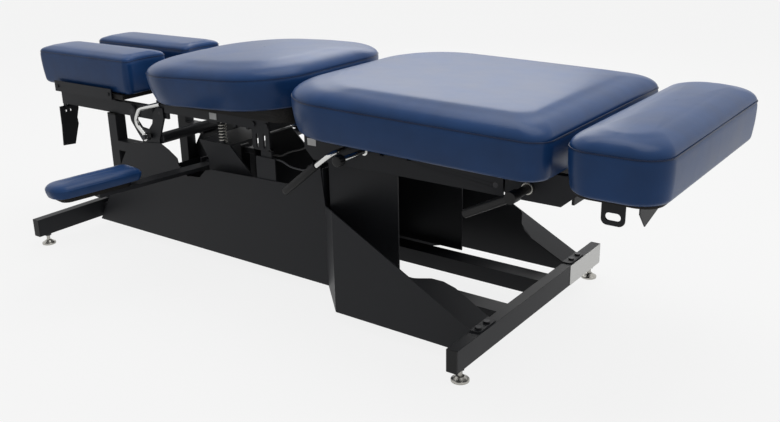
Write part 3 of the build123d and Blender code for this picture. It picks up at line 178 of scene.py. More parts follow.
class TableStageSettings(bpy.types.PropertyGroup):
    """Camera and light."""

    focal_pixels: FloatProperty(
        name="Focal length in pixels", description="For a picture 780 pixels wide", default=895.8
    )
    azimuth: FloatProperty(
        name="Camera azimuth", description="Turn of the camera round the table",
        default=radians(37.967), unit="ROTATION"
    )
    elevation: FloatProperty(
        name="Camera elevation", description="Camera height as an angle", default=radians(18.589),
        unit="ROTATION"
    )
    roll: FloatProperty(
        name="Camera roll", description="Small roll of the camera", default=radians(-1.758),
        unit="ROTATION"
    )
    place: FloatVectorProperty(
        name="Camera place", description="Where the camera stands", subtype="XYZ",
        default=(1.4281, -1.7015, 0.943)
    )
    top_light: FloatProperty(
        name="Top light", description="Power of the overhead softbox", default=30.0, unit="POWER"
    )
    back_light: FloatProperty(
        name="Back light", description="Power of the softbox behind the table", default=15.0,
        unit="POWER"
    )


# ---------------------------------------------------------------- surfaces


def skin(name, rings, first=None, last=None, ladder=False):
    """A surface through rings of points, rows by columns by three.

    Row i, column j is joined to row i+1 and column j+1 by a four sided face, and the last column
    to the first. first and last are points that close the ends with three sided faces. With ladder
    each end ring is closed by four sided faces between column j and its mirror image instead.
    """
    rows, cols = rings.shape[:2]
    points = rings.reshape(-1, 3)
    step = np.arange(cols)
    base = (np.arange(rows - 1) * cols)[:, None]
    a = base + step
    b = base + (step + 1) % cols
    quads = np.stack([a, b, b + cols, a + cols], axis=-1).reshape(-1, 4).tolist()
    extra = []
    if first is not None:
        extra.append(first)
        fan = np.stack([np.full_like(step, rows * cols), (step + 1) % cols, step], axis=-1)
        quads += fan.tolist()
    if last is not None:
        top = (rows - 1) * cols
        index = rows * cols + len(extra)
        extra.append(last)
        fan = np.stack([np.full_like(step, index), top + step, top + (step + 1) % cols], axis=-1)
        quads += fan.tolist()
    if ladder:
        rung = np.arange(cols // 2 - 1)
        across = np.stack([rung, rung + 1, cols - 2 - rung, cols - 1 - rung], axis=-1)
        quads += across[:, ::-1].tolist() + (across + (rows - 1) * cols).tolist()
    if extra:
        points = np.vstack([points, np.array(extra, dtype=float)])
    mesh = bpy.data.meshes.new(name)
    mesh.from_pydata(points.tolist(), [], quads)
    mesh.update()
    mesh.shade_smooth()
    piece = bpy.data.objects.new(name, mesh)
    bpy.context.scene.collection.objects.link(piece)
    return piece


def turned(name, start, along, profile, sides=48, flutes=0, flute_depth=0.0):
    """A turned surface: each (distance, radius) of the profile is a circle round the axis.

    A point is start + along * distance + radius * (u cos t + v sin t), with the radius drawn in by
    flute_depth times half of one minus the cosine of flutes times t.
    """
    along = np.array(Vector(along).normalized())
    side = np.cross(along, (0, 0, 1) if abs(along[2]) < 0.9 else (1, 0, 0))
    side /= np.linalg.norm(side)
    other = np.cross(along, side)
    angle = np.linspace(0, 2 * pi, sides, endpoint=False)
    distance = np.array([p[0] for p in profile])[:, None]
    radius = np.array([p[1] for p in profile])[:, None]
    flute = np.array([p[2] if len(p) > 2 else 0 for p in profile])[:, None]
    radius = radius - flute * flute_depth * (0.5 - 0.5 * np.cos(flutes * angle))
    start = np.array(start, dtype=float)
    rings = start + distance[..., None] * along
    rings = rings + (radius * np.cos(angle))[..., None] * side + (radius * np.sin(angle))[..., None] * other
    first = start + profile[0][0] * along
    last = start + profile[-1][0] * along
    return skin(name, rings, first, last)


def tube(name, path, radius, sides=12, closed=False):
    """A round tube: at each point of the path a circle square to the path's direction there."""
    path = np.asarray(path, dtype=float)
    if closed:
        ahead = np.roll(path, -1, axis=0) - np.roll(path, 1, axis=0)
    else:
        ahead = np.gradient(path, axis=0)
    ahead /= np.linalg.norm(ahead, axis=1)[:, None]
    up = np.where(np.abs(ahead[:, 2:3]) > 0.9, np.array([[0.0, 1.0, 0.0]]), np.array([[0.0, 0.0, 1.0]]))
    side = np.cross(ahead, up)
    side /= np.linalg.norm(side, axis=1)[:, None]
    other = np.cross(side, ahead)
    angle = np.linspace(0, 2 * pi, sides, endpoint=False)
    across = np.cos(angle)[None, :, None] * side[:, None]
    upward = np.sin(angle)[None, :, None] * other[:, None]
    rings = path[:, None] + radius * (across + upward)
    if closed:
        rings = np.concatenate([rings, rings[:1]])
        piece = skin(name, rings)
        return weld(piece)
    return skin(name, rings, path[0], path[-1])


def weld(piece):
    """Joins the points that lie on each other and makes the faces point outwards."""
    work = bmesh.new()
    work.from_mesh(piece.data)
    bmesh.ops.remove_doubles(work, verts=work.verts, dist=1e-6)
    bmesh.ops.recalc_face_normals(work, faces=work.faces)
    work.to_mesh(piece.data)
    work.free()
    return piece


def outline(low, high, radii, inset, count):
    """Points round a rectangle with rounded corners, drawn in by inset.

    Each corner is a quarter circle and each side a straight line, with the same share of the
    points at every inset, so that rings of one cushion match point by point.
    """
    x0, y0 = low[0] + inset, low[1] + inset
    x1, y1 = high[0] - inset, high[1] - inset
    limit = 0.44 * min(x1 - x0, y1 - y0)
    corner = count // 8
    side = count // 4 - corner
    places = [(x1, y0, -1, 1, -90), (x1, y1, -1, -1, 0), (x0, y1, 1, -1, 90), (x0, y0, 1, 1, 180)]
    arcs = []
    for (x, y, sx, sy, start), radius in zip(places, radii):
        r = min(radius, limit)
        angle = np.radians(np.linspace(start, start + 90, corner))
        arcs.append(np.stack([x + sx * r + r * np.cos(angle), y + sy * r + r * np.sin(angle)], axis=-1))
    points = []
    for k in range(4):
        ahead = arcs[(k + 1) % 4][0]
        share = np.linspace(0, 1, side + 2)[1:-1, None]
        points += [arcs[k], arcs[k][-1] + share * (ahead - arcs[k][-1])]
    return np.concatenate(points)


def cover_profile(low, seam, crown, draw, shoulder):
    """Steps of a cushion's section from its underside to its crown: inset, height and scale.

    The underside is flat with a small turned edge. The side falls back from the seam by draw times
    the 1.8th power of the distance below it. The shoulder is a cubic Bezier curve that leaves the
    seam almost upright and rolls over into the crown, a dome whose height falls with the square of
    the distance from the middle.
    """
    turn = TURN_SHARE * (seam - low)
    steps = [(draw + turn, low, s) for s in (0.3, 0.6, 0.8, 0.9, 1.0)]
    edge = np.linspace(0.3, pi / 2, 5)
    steps += [(draw + turn * (1 - sin(t)), low + turn * (1 - cos(t)), 1.0) for t in edge]
    side = np.linspace(0, 1, 12)[1:-1]
    steps += [(draw * (1 - s) ** 1.8, low + turn + s * (seam - low - turn), 1.0) for s in side]
    steps += [(0.0, seam - 2 * MM, 1.0), (0.0, seam, 1.0), (0.2 * MM, seam + 2 * MM, 1.0)]
    high = SHOULDER_SHARE * (crown - seam)
    for t in np.linspace(0, 1, 20)[2:]:
        reach = 3 * (1 - t) ** 2 * t * REACH_POINTS[0] + 3 * (1 - t) * t ** 2 * REACH_POINTS[1] + t ** 3
        lift = 3 * (1 - t) ** 2 * t * LIFT_POINT + 3 * (1 - t) * t ** 2 + t ** 3
        steps.append((0.2 * MM + shoulder * reach, seam + high * lift, 1.0))
    for s in np.linspace(1, 0, 12)[1:-1]:
        steps.append((0.2 * MM + shoulder, seam + high + (crown - seam - high) * (1 - s * s), s))
    return steps


def cushion_surface(name, low, high, radii, steps, count):
    """A closed cushion from rings: each step's outline, scaled about the middle for the crown."""
    middle = (np.array(low) + np.array(high)) / 2
    rings = []
    for inset, z, scale in steps:
        ring = middle + scale * (outline(low, high, radii, inset, count) - middle)
        rings.append(np.column_stack([ring, np.full(len(ring), z)]))
    return skin(name, np.array(rings), ladder=True)


def points_of(mesh):
    """The mesh's points as rows of three numbers."""
    flat = np.empty(len(mesh.vertices) * 3)
    mesh.vertices.foreach_get("co", flat)
    return flat.reshape(-1, 3)


def place_points(piece, points):
    """Puts the mesh's points where the rows say."""
    piece.data.vertices.foreach_set("co", np.ascontiguousarray(points).ravel())
    piece.data.update()


def distance_to(points, line):
    """How far each point is from the nearest point of a line.

    The square of a distance is p.p + q.q - 2 p.q for every point p and line point q at once.
    """
    square = (points ** 2).sum(axis=1)[:, None] + (line ** 2).sum(axis=1) - 2 * points @ line.T
    return np.sqrt(np.maximum(square.min(axis=1), 0))


def vertex_normals(mesh):
    """The mesh's normals at its points as rows of three numbers."""
    flat = np.empty(len(mesh.vertices) * 3)
    mesh.vertices.foreach_get("normal", flat)
    return flat.reshape(-1, 3)


def swelled(piece, low, seam_line, limit):
    """Swells the cover by cloth simulation: it is held at its seam and underside.

    The cover is taut over its foam, so only the outward part d of each simulated move is kept. It
    is averaged with its neighbours along the ring and between rings until no fold is left, and
    shortened to limit times tanh(d / limit).
    """
    sizes = bpy.context.scene.table_upholstery
    start = points_of(piece.data)
    held = (start[:, 2] < low + 4 * MM) | (distance_to(start, seam_line) < 2.5 * MM)
    group = piece.vertex_groups.new(name="held")
    group.add(np.flatnonzero(held).tolist(), 1.0, "REPLACE")
    cloth = piece.modifiers.new("cloth", "CLOTH")
    cloth.settings.quality = 5
    cloth.settings.mass = 0.4
    cloth.settings.tension_stiffness = 20
    cloth.settings.compression_stiffness = 20
    cloth.settings.shear_stiffness = 8
    cloth.settings.bending_stiffness = 2
    cloth.settings.use_pressure = True
    cloth.settings.uniform_pressure_force = sizes.pressure
    cloth.settings.vertex_group_mass = "held"
    cloth.settings.effector_weights.gravity = 0
    cloth.collision_settings.use_collision = False
    cloth.point_cache.frame_start = 1
    cloth.point_cache.frame_end = LAST_FRAME
    for frame_number in range(1, LAST_FRAME + 1):
        bpy.context.scene.frame_set(frame_number)
    view = bpy.context.evaluated_depsgraph_get()
    finish = points_of(piece.evaluated_get(view).data)
    piece.modifiers.remove(cloth)
    piece.vertex_groups.remove(group)
    bpy.context.scene.frame_set(1)
    normals = vertex_normals(piece.data)
    swell = np.maximum(((finish - start) * normals).sum(axis=1), 0).reshape(-1, sizes.ring_points)
    for _ in range(RING_PASSES):
        swell = (np.roll(swell, 1, axis=1) + swell + np.roll(swell, -1, axis=1)) / 3
    for _ in range(ROW_PASSES):
        swell = (np.vstack([swell[:1], swell[:-1]]) + swell + np.vstack([swell[1:], swell[-1:]])) / 3
    kept = limit * np.tanh(swell.ravel() / limit) * ~held
    print("swell of", piece.name, "kept", round(float(kept.max()) * 1000, 1), "mm")
    place_points(piece, start + kept[:, None] * normals)


def seamed(piece, line, depth, width):
    """Draws the cover in along a seam by depth times a bell curve of the distance from it."""
    mesh = piece.data
    start = points_of(mesh)
    fall = np.exp(-(distance_to(start, line) / width) ** 2)
    place_points(piece, start - depth * fall[:, None] * vertex_normals(mesh))


def seam_welt(piece, name, line, radius, body, sink):
    """The welt: a tube along the seam, sunk into the cover by sink."""
    line = np.array(line)
    middle = line.mean(axis=0)
    away = line - middle
    away[:, 2] = 0
    away /= np.linalg.norm(away, axis=1)[:, None]
    welt = tube(name, line - sink * away, radius, sides=10, closed=True)
    # The welt's finish is the darker copy of the vinyl, with painted seam shade.
    dress(welt, "welt", body, slot="blue_vinyl")
    return welt


def tipped(points, pivot_x, pivot_z, rise):
    """Turns points about a level hinge across the table: x and z by the rise's sine and cosine."""
    out = np.array(points, dtype=float)
    x, z = out[..., 0] - pivot_x, out[..., 2] - pivot_z
    out[..., 0] = pivot_x + x * cos(rise) - z * sin(rise)
    out[..., 2] = pivot_z + x * sin(rise) + z * cos(rise)
    return out


# ---------------------------------------------------------------- materials


def add(tree, kind, settings=None, **links):
    """Adds a node, sets its properties or sockets and links the sockets given by name."""
    node = tree.nodes.new(kind)
    for key, value in (settings or {}).items():
        if isinstance(key, str) and hasattr(node, key) and key not in node.inputs:
            setattr(node, key, value)
        else:
            node.inputs[key].default_value = value
    for key, socket in links.items():
        name = key.replace("_", " ")
        tree.links.new(socket, node.inputs[name] if name in node.inputs else node.inputs[int(key[1:])])
    return node


def four(colour):
    """A colour with full alpha."""
    return (colour[0], colour[1], colour[2], 1.0)


def new_material(name):
    """An empty material with its output, and its object coordinates."""
    material = bpy.data.materials.new(name)
    material.use_nodes = True
    tree = material.node_tree
    tree.nodes.clear()
    place = add(tree, "ShaderNodeTexCoord").outputs["Object"]
    return material, tree, place


def close_material(tree, shader):
    """Links the shader to the material's output."""
    add(tree, "ShaderNodeOutputMaterial", Surface=shader.outputs[0])


def background_rays(tree):
    """1 for the rays that show the background itself: camera, glossy and transmission rays."""
    path = add(tree, "ShaderNodeLightPath")
    two = add(
        tree, "ShaderNodeMath", {"operation": "MAXIMUM"}, _0=path.outputs["Is Camera Ray"],
        _1=path.outputs["Is Glossy Ray"]
    )
    all_rays = add(
        tree, "ShaderNodeMath", {"operation": "MAXIMUM"}, _0=two.outputs[0],
        _1=path.outputs["Is Transmission Ray"]
    )
    return all_rays.outputs[0]


def blend_colours(tree, factor, dark, light):
    """A colour ramp from one colour to the other, with a factor socket."""
    ramp = add(tree, "ShaderNodeValToRGB", Fac=factor)
    ramp.color_ramp.elements[0].position = 0.3
    ramp.color_ramp.elements[0].color = four(dark)
    ramp.color_ramp.elements[1].position = 0.7
    ramp.color_ramp.elements[1].color = four(light)
    return ramp.outputs["Color"]


def vinyl_material(name, deep, light):
    """Upholstery vinyl: calendered sheet with a fine leather grain, satin and slightly soft."""
    material, tree, place = new_material(name)
    # The pressed grain is about 1 mm; it is drawn 2.4 mm wide so that it shows at this size.
    grain = add(tree, "ShaderNodeTexVoronoi", {"Scale": 1 / (2.4 * MM), "feature": "F1"}, Vector=place)
    cloud = add(tree, "ShaderNodeTexNoise", {"Scale": 1 / (90 * MM), "Detail": 3.0}, Vector=place)
    fine = add(tree, "ShaderNodeTexNoise", {"Scale": 1 / (1.6 * MM), "Detail": 2.0}, Vector=place)
    colour = blend_colours(tree, cloud.outputs["Fac"], deep, light)
    rough = add(tree, "ShaderNodeMapRange", {"To Min": 0.3, "To Max": 0.38}, Value=cloud.outputs["Fac"])
    relief = add(
        tree, "ShaderNodeMath", {"operation": "ADD"}, _0=grain.outputs["Distance"],
        _1=fine.outputs["Fac"]
    )
    bump = add(tree, "ShaderNodeBump", {"Strength": 0.07, "Distance": 0.5 * MM}, Height=relief.outputs[0])
    folds = add(tree, "ShaderNodeTexNoise", {"Scale": 1 / (60 * MM), "Detail": 1.0}, Vector=place)
    slack = add(
        tree, "ShaderNodeBump", {"Strength": 0.12, "Distance": 4 * MM}, Height=folds.outputs["Fac"],
        Normal=bump.outputs[0]
    )
    shader = add(
        tree, "ShaderNodeBsdfPrincipled",
        {"IOR": 1.5, "Specular IOR Level": 0.16, "Coat Weight": 0.08, "Coat Roughness": 0.2},
        Base_Color=colour, Roughness=rough.outputs[0], Normal=slack.outputs[0]
    )
    close_material(tree, shader)
    return material


def powder_material(name, colour, lift):
    """Powder coat: baked polyester with a very fine orange peel, satin black."""
    material, tree, place = new_material(name)
    # The orange peel is about 0.6 mm and is drawn 2 mm wide so that it breaks the gloss here.
    peel = add(tree, "ShaderNodeTexNoise", {"Scale": 1 / (2.0 * MM), "Detail": 2.0}, Vector=place)
    dust = add(tree, "ShaderNodeTexNoise", {"Scale": 1 / (140 * MM), "Detail": 5.0}, Vector=place)
    light = tuple(c * lift for c in colour)
    shade = blend_colours(tree, dust.outputs["Fac"], colour, light)
    rough = add(tree, "ShaderNodeMapRange", {"To Min": 0.4, "To Max": 0.55}, Value=dust.outputs["Fac"])
    bump = add(tree, "ShaderNodeBump", {"Strength": 0.06, "Distance": 0.3 * MM}, Height=peel.outputs["Fac"])
    shader = add(
        tree, "ShaderNodeBsdfPrincipled", {"IOR": 1.5, "Specular IOR Level": 0.2}, Base_Color=shade,
        Roughness=rough.outputs[0], Normal=bump.outputs[0]
    )
    close_material(tree, shader)
    return material


def metal_material(name, colour, rough_low, rough_high, stretch):
    """Plated or brushed metal: full metal with fine drawn marks along one direction."""
    material, tree, place = new_material(name)
    # Drawn marks are under 0.1 mm; they are shown as streaks 1.5 mm wide.
    turn = add(tree, "ShaderNodeMapping", {"Scale": stretch}, Vector=place)
    marks = add(
        tree, "ShaderNodeTexNoise", {"Scale": 1 / (1.5 * MM), "Detail": 3.0}, Vector=turn.outputs[0]
    )
    rough = add(
        tree, "ShaderNodeMapRange", {"To Min": rough_low, "To Max": rough_high},
        Value=marks.outputs["Fac"]
    )
    dark = tuple(c * 0.86 for c in colour)
    shade = blend_colours(tree, marks.outputs["Fac"], dark, colour)
    bump = add(
        tree, "ShaderNodeBump", {"Strength": 0.04, "Distance": 0.1 * MM},
        Height=marks.outputs["Fac"]
    )
    shader = add(
        tree, "ShaderNodeBsdfPrincipled", {"Metallic": 1.0}, Base_Color=shade,
        Roughness=rough.outputs[0], Normal=bump.outputs[0]
    )
    close_material(tree, shader)
    return material


def moulded_material(name, colour, roughness):
    """Moulded plastic or rubber: matte, with the light spark-eroded texture of its mould."""
    material, tree, place = new_material(name)
    # The mould texture is 0.3 mm and is drawn 1.2 mm wide.
    pits = add(tree, "ShaderNodeTexVoronoi", {"Scale": 1 / (1.2 * MM)}, Vector=place)
    cloud = add(tree, "ShaderNodeTexNoise", {"Scale": 1 / (30 * MM)}, Vector=place)
    rough = add(
        tree, "ShaderNodeMapRange", {"To Min": roughness - 0.06, "To Max": roughness + 0.06},
        Value=cloud.outputs["Fac"]
    )
    shade = blend_colours(tree, cloud.outputs["Fac"], tuple(c * 0.85 for c in colour), colour)
    bump = add(
        tree, "ShaderNodeBump", {"Strength": 0.1, "Distance": 0.2 * MM},
        Height=pits.outputs["Distance"]
    )
    shader = add(
        tree, "ShaderNodeBsdfPrincipled", {"IOR": 1.5, "Specular IOR Level": 0.25},
        Base_Color=shade, Roughness=rough.outputs[0], Normal=bump.outputs[0]
    )
    close_material(tree, shader)
    return material


def plywood_material(name):
    """Stained plywood: birch veneer under black stain, with long faint grain."""
    material, tree, place = new_material(name)
    turn = add(tree, "ShaderNodeMapping", {"Scale": (0.08, 1.0, 1.0)}, Vector=place)
    grain = add(tree, "ShaderNodeTexNoise", {"Scale": 1 / (4 * MM), "Detail": 5.0}, Vector=turn.outputs[0])
    shade = blend_colours(tree, grain.outputs["Fac"], linear("#131313"), linear("#262321"))
    bump = add(tree, "ShaderNodeBump", {"Strength": 0.2, "Distance": 0.3 * MM}, Height=grain.outputs["Fac"])
    shader = add(
        tree, "ShaderNodeBsdfPrincipled",
        {"Roughness": 0.62, "IOR": 1.5, "Specular IOR Level": 0.2}, Base_Color=shade,
        Normal=bump.outputs[0]
    )
    close_material(tree, shader)
    return material


made = {}


def materials():
    """All finishes by slot name, made once."""
    if made:
        return made
    finishes = bpy.context.scene.table_finish
    made["blue_vinyl"] = vinyl_material(
        "Upholstery vinyl, navy, grained", finishes.vinyl_deep, finishes.vinyl
    )
    # The welt is the cover's navy vinyl coloured darker: painted shade of the seam crease.
    made["welt"] = vinyl_material("Upholstery vinyl, navy, welt, painted seam shade", linear("#132647"), linear("#182F55"))
    made["black_steel"] = powder_material("Steel, black powder coat", finishes.powder, 1.25)
    made["black_plastic"] = moulded_material("Polyamide, black, moulded", finishes.moulded, 0.5)
    made["bright_steel"] = metal_material("Steel, zinc plated", finishes.zinc, 0.25, 0.45, (1, 1, 1))
    made["black_screws"] = metal_material("Steel, black oxide", linear("#3A3A3C"), 0.35, 0.5, (1, 1, 1))
    made["chrome_bar"] = metal_material("Steel, chrome plated", finishes.chrome, 0.08, 0.16, (1, 1, 0.2))
    made["bare_plate"] = metal_material(
        "Aluminium, brushed, bare", linear("#C4C4C2"), 0.3, 0.5, (1, 0.06, 1)
    )
    made["white_label"] = moulded_material("Vinyl film, white, bare", linear("#F4F4F2"), 0.5)
    made["rubber_pad"] = moulded_material("Rubber, black, moulded", linear("#151515"), 0.75)
    made["black_board"] = plywood_material("Birch plywood, black stain")
    made["black_sheath"] = moulded_material("Cable sheath, black", linear("#121212"), 0.45)
    made["grey_sheath"] = moulded_material("Cable sheath, grey", linear("#55575A"), 0.45)
    return made


def dress(piece, key, body, *nodes, slot=None):
    """Gives a new piece its finish, its body and the nodes that it stands for."""
    piece.data.materials.clear()
    piece.data.materials.append(materials()[key])
    if nodes:
        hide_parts(*nodes)
    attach(piece, body)
    return piece


# ---------------------------------------------------------------- operators


def box_of(node):
    """The node's box as two numpy corners."""
    low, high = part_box(node)
    return np.array(low), np.array(high)


def upholster(name, node, body, low, high, radii, z, draw, shoulder, welt, shape=None):
    """Makes one cushion or pad: cover, swell, seam and welt.

    z holds the heights of the underside, seam and crown. The shape function bends or places the
    points at the end.
    """
    sizes = bpy.context.scene.table_upholstery
    swell = min(sizes.swell, 0.25 * (z[2] - z[1]))
    steps = cover_profile(z[0], z[1], z[2] - swell, draw, shoulder)
    piece = cushion_surface(name, low, high, radii, steps, sizes.ring_points)
    ring = outline(low, high, radii, 0.0, sizes.ring_points)
    line = np.column_stack([ring, np.full(len(ring), z[1])])
    swelled(piece, z[0], line, swell)
    if welt:
        seamed(piece, line, sizes.groove, sizes.groove_width)
    if shape is not None:
        place_points(piece, shape(points_of(piece.data)))
        line = shape(line)
    smooth = piece.modifiers.new("smooth", "SUBSURF")
    smooth.levels = smooth.render_levels = 1
    dress(piece, "blue_vinyl", body, node)
    if welt:
        seam_welt(piece, name + "_welt", line, welt, body, 0.9 * welt)
    return piece


class TABLE_OT_pelvic_cushion(bpy.types.Operator):
    """Makes the pelvic cushion with its piped seam"""

    bl_idname = "table.pelvic_cushion"
    bl_label = "Pelvic cushion"

    def execute(self, context):
        sizes = context.scene.table_upholstery
        length, width, height = sizes.pelvic_size
        start = 68.5 * MM
        hinge_x, hinge_z = 576.5 * MM, 376 * MM
        draw, shoulder, fill = 8 * MM, 70 * MM, 0.9
        low, high = (start, -width / 2), (start + length, width / 2)
        radii = (44 * MM, 44 * MM, 150 * MM, 150 * MM)
        z = (438 * MM, 519 * MM, 442 * MM + height)

        def raised(points):
            """Raises the head end about the hinge of the section."""
            return tipped(points, hinge_x, hinge_z, -sizes.pelvic_rise)

        upholster(
            "pelvic_cover", "pelvic_cushion", "pelvic_section", low, high, radii, z, draw,
            shoulder, sizes.welt_radius, raised
        )
        return {"FINISHED"}


class TABLE_OT_foot_cushion(bpy.types.Operator):
    """Makes the foot cushion with its piped seam"""

    bl_idname = "table.foot_cushion"
    bl_label = "Foot cushion"

    def execute(self, context):
        sizes = context.scene.table_upholstery
        length, width, height = sizes.foot_size
        end = 963 * MM
        corner, draw, shoulder, fill = 55 * MM, 4 * MM, 52 * MM, 0.9
        low, high = (end - length, -width / 2), (end, width / 2)
        z = (427 * MM, 513 * MM, 440 * MM + height)
        upholster(
            "foot_cover", "foot_cushion", "foot_section", low, high, (corner,) * 4, z, draw,
            shoulder, sizes.welt_radius
        )
        return {"FINISHED"}


class TABLE_OT_chest_cushion(bpy.types.Operator):
    """Makes the chest cushion with its drawn-in sides and sewn seam"""

    bl_idname = "table.chest_cushion"
    bl_label = "Chest cushion"

    def execute(self, context):
        sizes = context.scene.table_upholstery
        length, width, height = sizes.chest_size
        start = -469.5 * MM
        hinge_x, hinge_z = -473.5 * MM, 397 * MM
        draw, shoulder, fill, thin = 12 * MM, 76 * MM, 0.85, 0.5
        low, high = (start, -width / 2), (start + length, width / 2)
        radii = (150 * MM, 150 * MM, 165 * MM, 165 * MM)
        z = (446 * MM, 522 * MM, 446 * MM + height)

        def raised(points):
            """Raises the foot end about the hinge of the section."""
            return tipped(points, hinge_x, hinge_z, sizes.chest_rise)

        upholster(
            "chest_cover", "chest_cushion", "chest_section", low, high, radii, z, draw, shoulder,
            thin * sizes.welt_radius, raised
        )
        return {"FINISHED"}


class TABLE_OT_head_cushions(bpy.types.Operator):
    """Makes the two head cushions with the curved end for the face"""

    bl_idname = "table.head_cushions"
    bl_label = "Head cushions"

    def execute(self, context):
        sizes = context.scene.table_upholstery
        length, width, height = sizes.head_size
        z = (440 * MM, 534 * MM, 440 * MM + height)
        start, face_gap = -963 * MM, 32 * MM
        corner, draw, shoulder, fill, thin = 24 * MM, 5 * MM, 26 * MM, 0.85, 0.5
        hollow, fade = 14 * MM, 80 * MM
        end = start + length
        for side, sign in (("near", -1), ("far", 1)):
            inner, outer = sign * face_gap, sign * (face_gap + width)
            low, high = (start, min(inner, outer)), (end, max(inner, outer))
            middle = (inner + outer) / 2

            def hollowed(points):
                """Draws the chest end in by a parabola across the cushion that fades along it."""
                out = np.array(points)
                across = np.clip(1 - ((out[..., 1] - middle) / (width / 2)) ** 2, 0, 1)
                near_end = np.clip((out[..., 0] - (end - fade)) / fade, 0, 1) ** 2
                out[..., 0] -= hollow * across * near_end
                return out

            upholster(
                "head_cover_" + side, "head_cushion_" + side, "head_sliding_carriage", low, high,
                (corner,) * 4, z, draw, shoulder, thin * sizes.welt_radius, hollowed
            )
        return {"FINISHED"}


class TABLE_OT_armrest_pads(bpy.types.Operator):
    """Makes the two armrest pads"""

    bl_idname = "table.armrest_pads"
    bl_label = "Armrest pads"

    def execute(self, context):
        sizes = context.scene.table_upholstery
        length, width, height = sizes.armrest_size
        turn = sizes.armrest_turn
        z = (272 * MM, 291 * MM, 272 * MM + height)
        radii = (38 * MM, 38 * MM, 14 * MM, 14 * MM)
        draw, shoulder, fill = 4 * MM, 27 * MM, 0.8
        for side, sign in (("near", -1), ("far", 1)):
            centre = np.array([-412.5 * MM, sign * 427 * MM])
            out = np.array([-sin(turn), sign * cos(turn)])
            left = np.array([-out[1], out[0]])

            def placed(points):
                """Turns a pad from along X to its place: X runs outwards along the pad."""
                spot = np.array(points)
                spot[..., :2] = points[..., 0:1] * out + points[..., 1:2] * left + centre
                return spot

            low, high = (-length / 2, -width / 2), (length / 2, width / 2)
            upholster(
                "armrest_cover_" + side, "armrest_pad_" + side, "armrest_pad_" + side, low, high,
                radii, z, draw, shoulder, 0, placed
            )
        return {"FINISHED"}


class TABLE_OT_grips(bpy.types.Operator):
    """Makes the moulded grip of the cocking lever and the fluted knob"""

    bl_idname = "table.grips"
    bl_label = "Grips and knob"

    def execute(self, context):
        low, high = box_of("cocking_grip")
        start = np.array([high[0] - 7 * MM, (low[1] + high[1]) / 2, high[2] - 7.4 * MM])
        finish = np.array([low[0] + 7 * MM, start[1], low[2] + 7.6 * MM])
        length = float(np.linalg.norm(finish - start))
        profile = [
            (0, 7.6 * MM), (1 * MM, 8.6 * MM), (3 * MM, 9.2 * MM), (0.5 * length, 9.5 * MM),
            (length - 8 * MM, 9.4 * MM), (length - 2 * MM, 8 * MM), (length + 1 * MM, 5 * MM),
            (length + 2 * MM, 1.5 * MM)
        ]
        dress(
            turned("cocking_lever_grip", start, finish - start, profile), "black_plastic",
            "cocking_lever", "cocking_grip"
        )

        low, high = box_of("tension_knob")
        centre = (low + high) / 2
        back = high[1]
        profile = [
            (0, 8 * MM), (0.5 * MM, 11.5 * MM, 0.4), (3 * MM, 13.3 * MM, 1),
            (17 * MM, 13.4 * MM, 1), (20 * MM, 12.2 * MM, 0.6), (21.6 * MM, 9 * MM),
            (21.8 * MM, 4 * MM)
        ]
        knob = turned(
            "tension_knob_head", (centre[0], back, centre[2]), (0, -1, 0), profile, 96, 12, 1.4 * MM
        )
        dress(knob, "black_plastic", "tension_knob", "tension_knob")
        return {"FINISHED"}


class TABLE_OT_levelling_feet(bpy.types.Operator):
    """Makes the four dished levelling feet"""

    bl_idname = "table.levelling_feet"
    bl_label = "Levelling feet"

    def execute(self, context):
        profile = [
            (0, 17.5 * MM), (0.8 * MM, 19.3 * MM), (4.6 * MM, 19.5 * MM), (5.6 * MM, 18.6 * MM),
            (6.4 * MM, 16.5 * MM), (8.5 * MM, 12.5 * MM), (11.5 * MM, 9.8 * MM),
            (12.8 * MM, 8.2 * MM), (13.2 * MM, 5.2 * MM)
        ]
        root, top, half_pitch = 13.4 * MM, 44 * MM, 0.5 * MM
        crest, valley = 4.9 * MM, 4.4 * MM
        turns = range(int((top - root) / half_pitch))
        thread = [(root + k * half_pitch, crest if k % 2 else valley) for k in turns]
        for place in ("head_near", "head_far", "foot_near", "foot_far"):
            node = "levelling_foot_" + place
            low, high = box_of(node)
            centre = (low + high) / 2
            foot = turned(
                "levelling_pad_" + place, (centre[0], centre[1], 0), (0, 0, 1), profile + thread, 40
            )
            dress(foot, "bright_steel", node, node)
        return {"FINISHED"}


class TABLE_OT_finishes(bpy.types.Operator):
    """Gives every steel, plastic and board piece its finish and soft edges"""

    bl_idname = "table.finishes"
    bl_label = "Finishes"

    def execute(self, context):
        slots = {entry["node"]: entry["material_slot"] for entry in frame["record"]["subparts"]}
        blackened = {"frame_fasteners", "pivot_pins", "head_lever_screw"}
        sharp = {"drop_springs", "black_cable", "grey_cable", "head_lever", "cocking_lever"}
        for name, node in frame["nodes"].items():
            material = materials()["black_screws" if name in blackened else slots[name]]
            if not node.material_slots:
                node.data.materials.append(material)
            for entry in node.material_slots:
                entry.material = material
            if node.hide_render or name in sharp:
                continue
            join = node.modifiers.new("join", "WELD")
            join.merge_threshold = 0.02 * MM
            edge = node.modifiers.new("edge", "BEVEL")
            edge.width = 0.7 * MM
            edge.segments = 2
            edge.limit_method = "ANGLE"
            edge.angle_limit = radians(40)
            edge.harden_normals = False
        return {"FINISHED"}


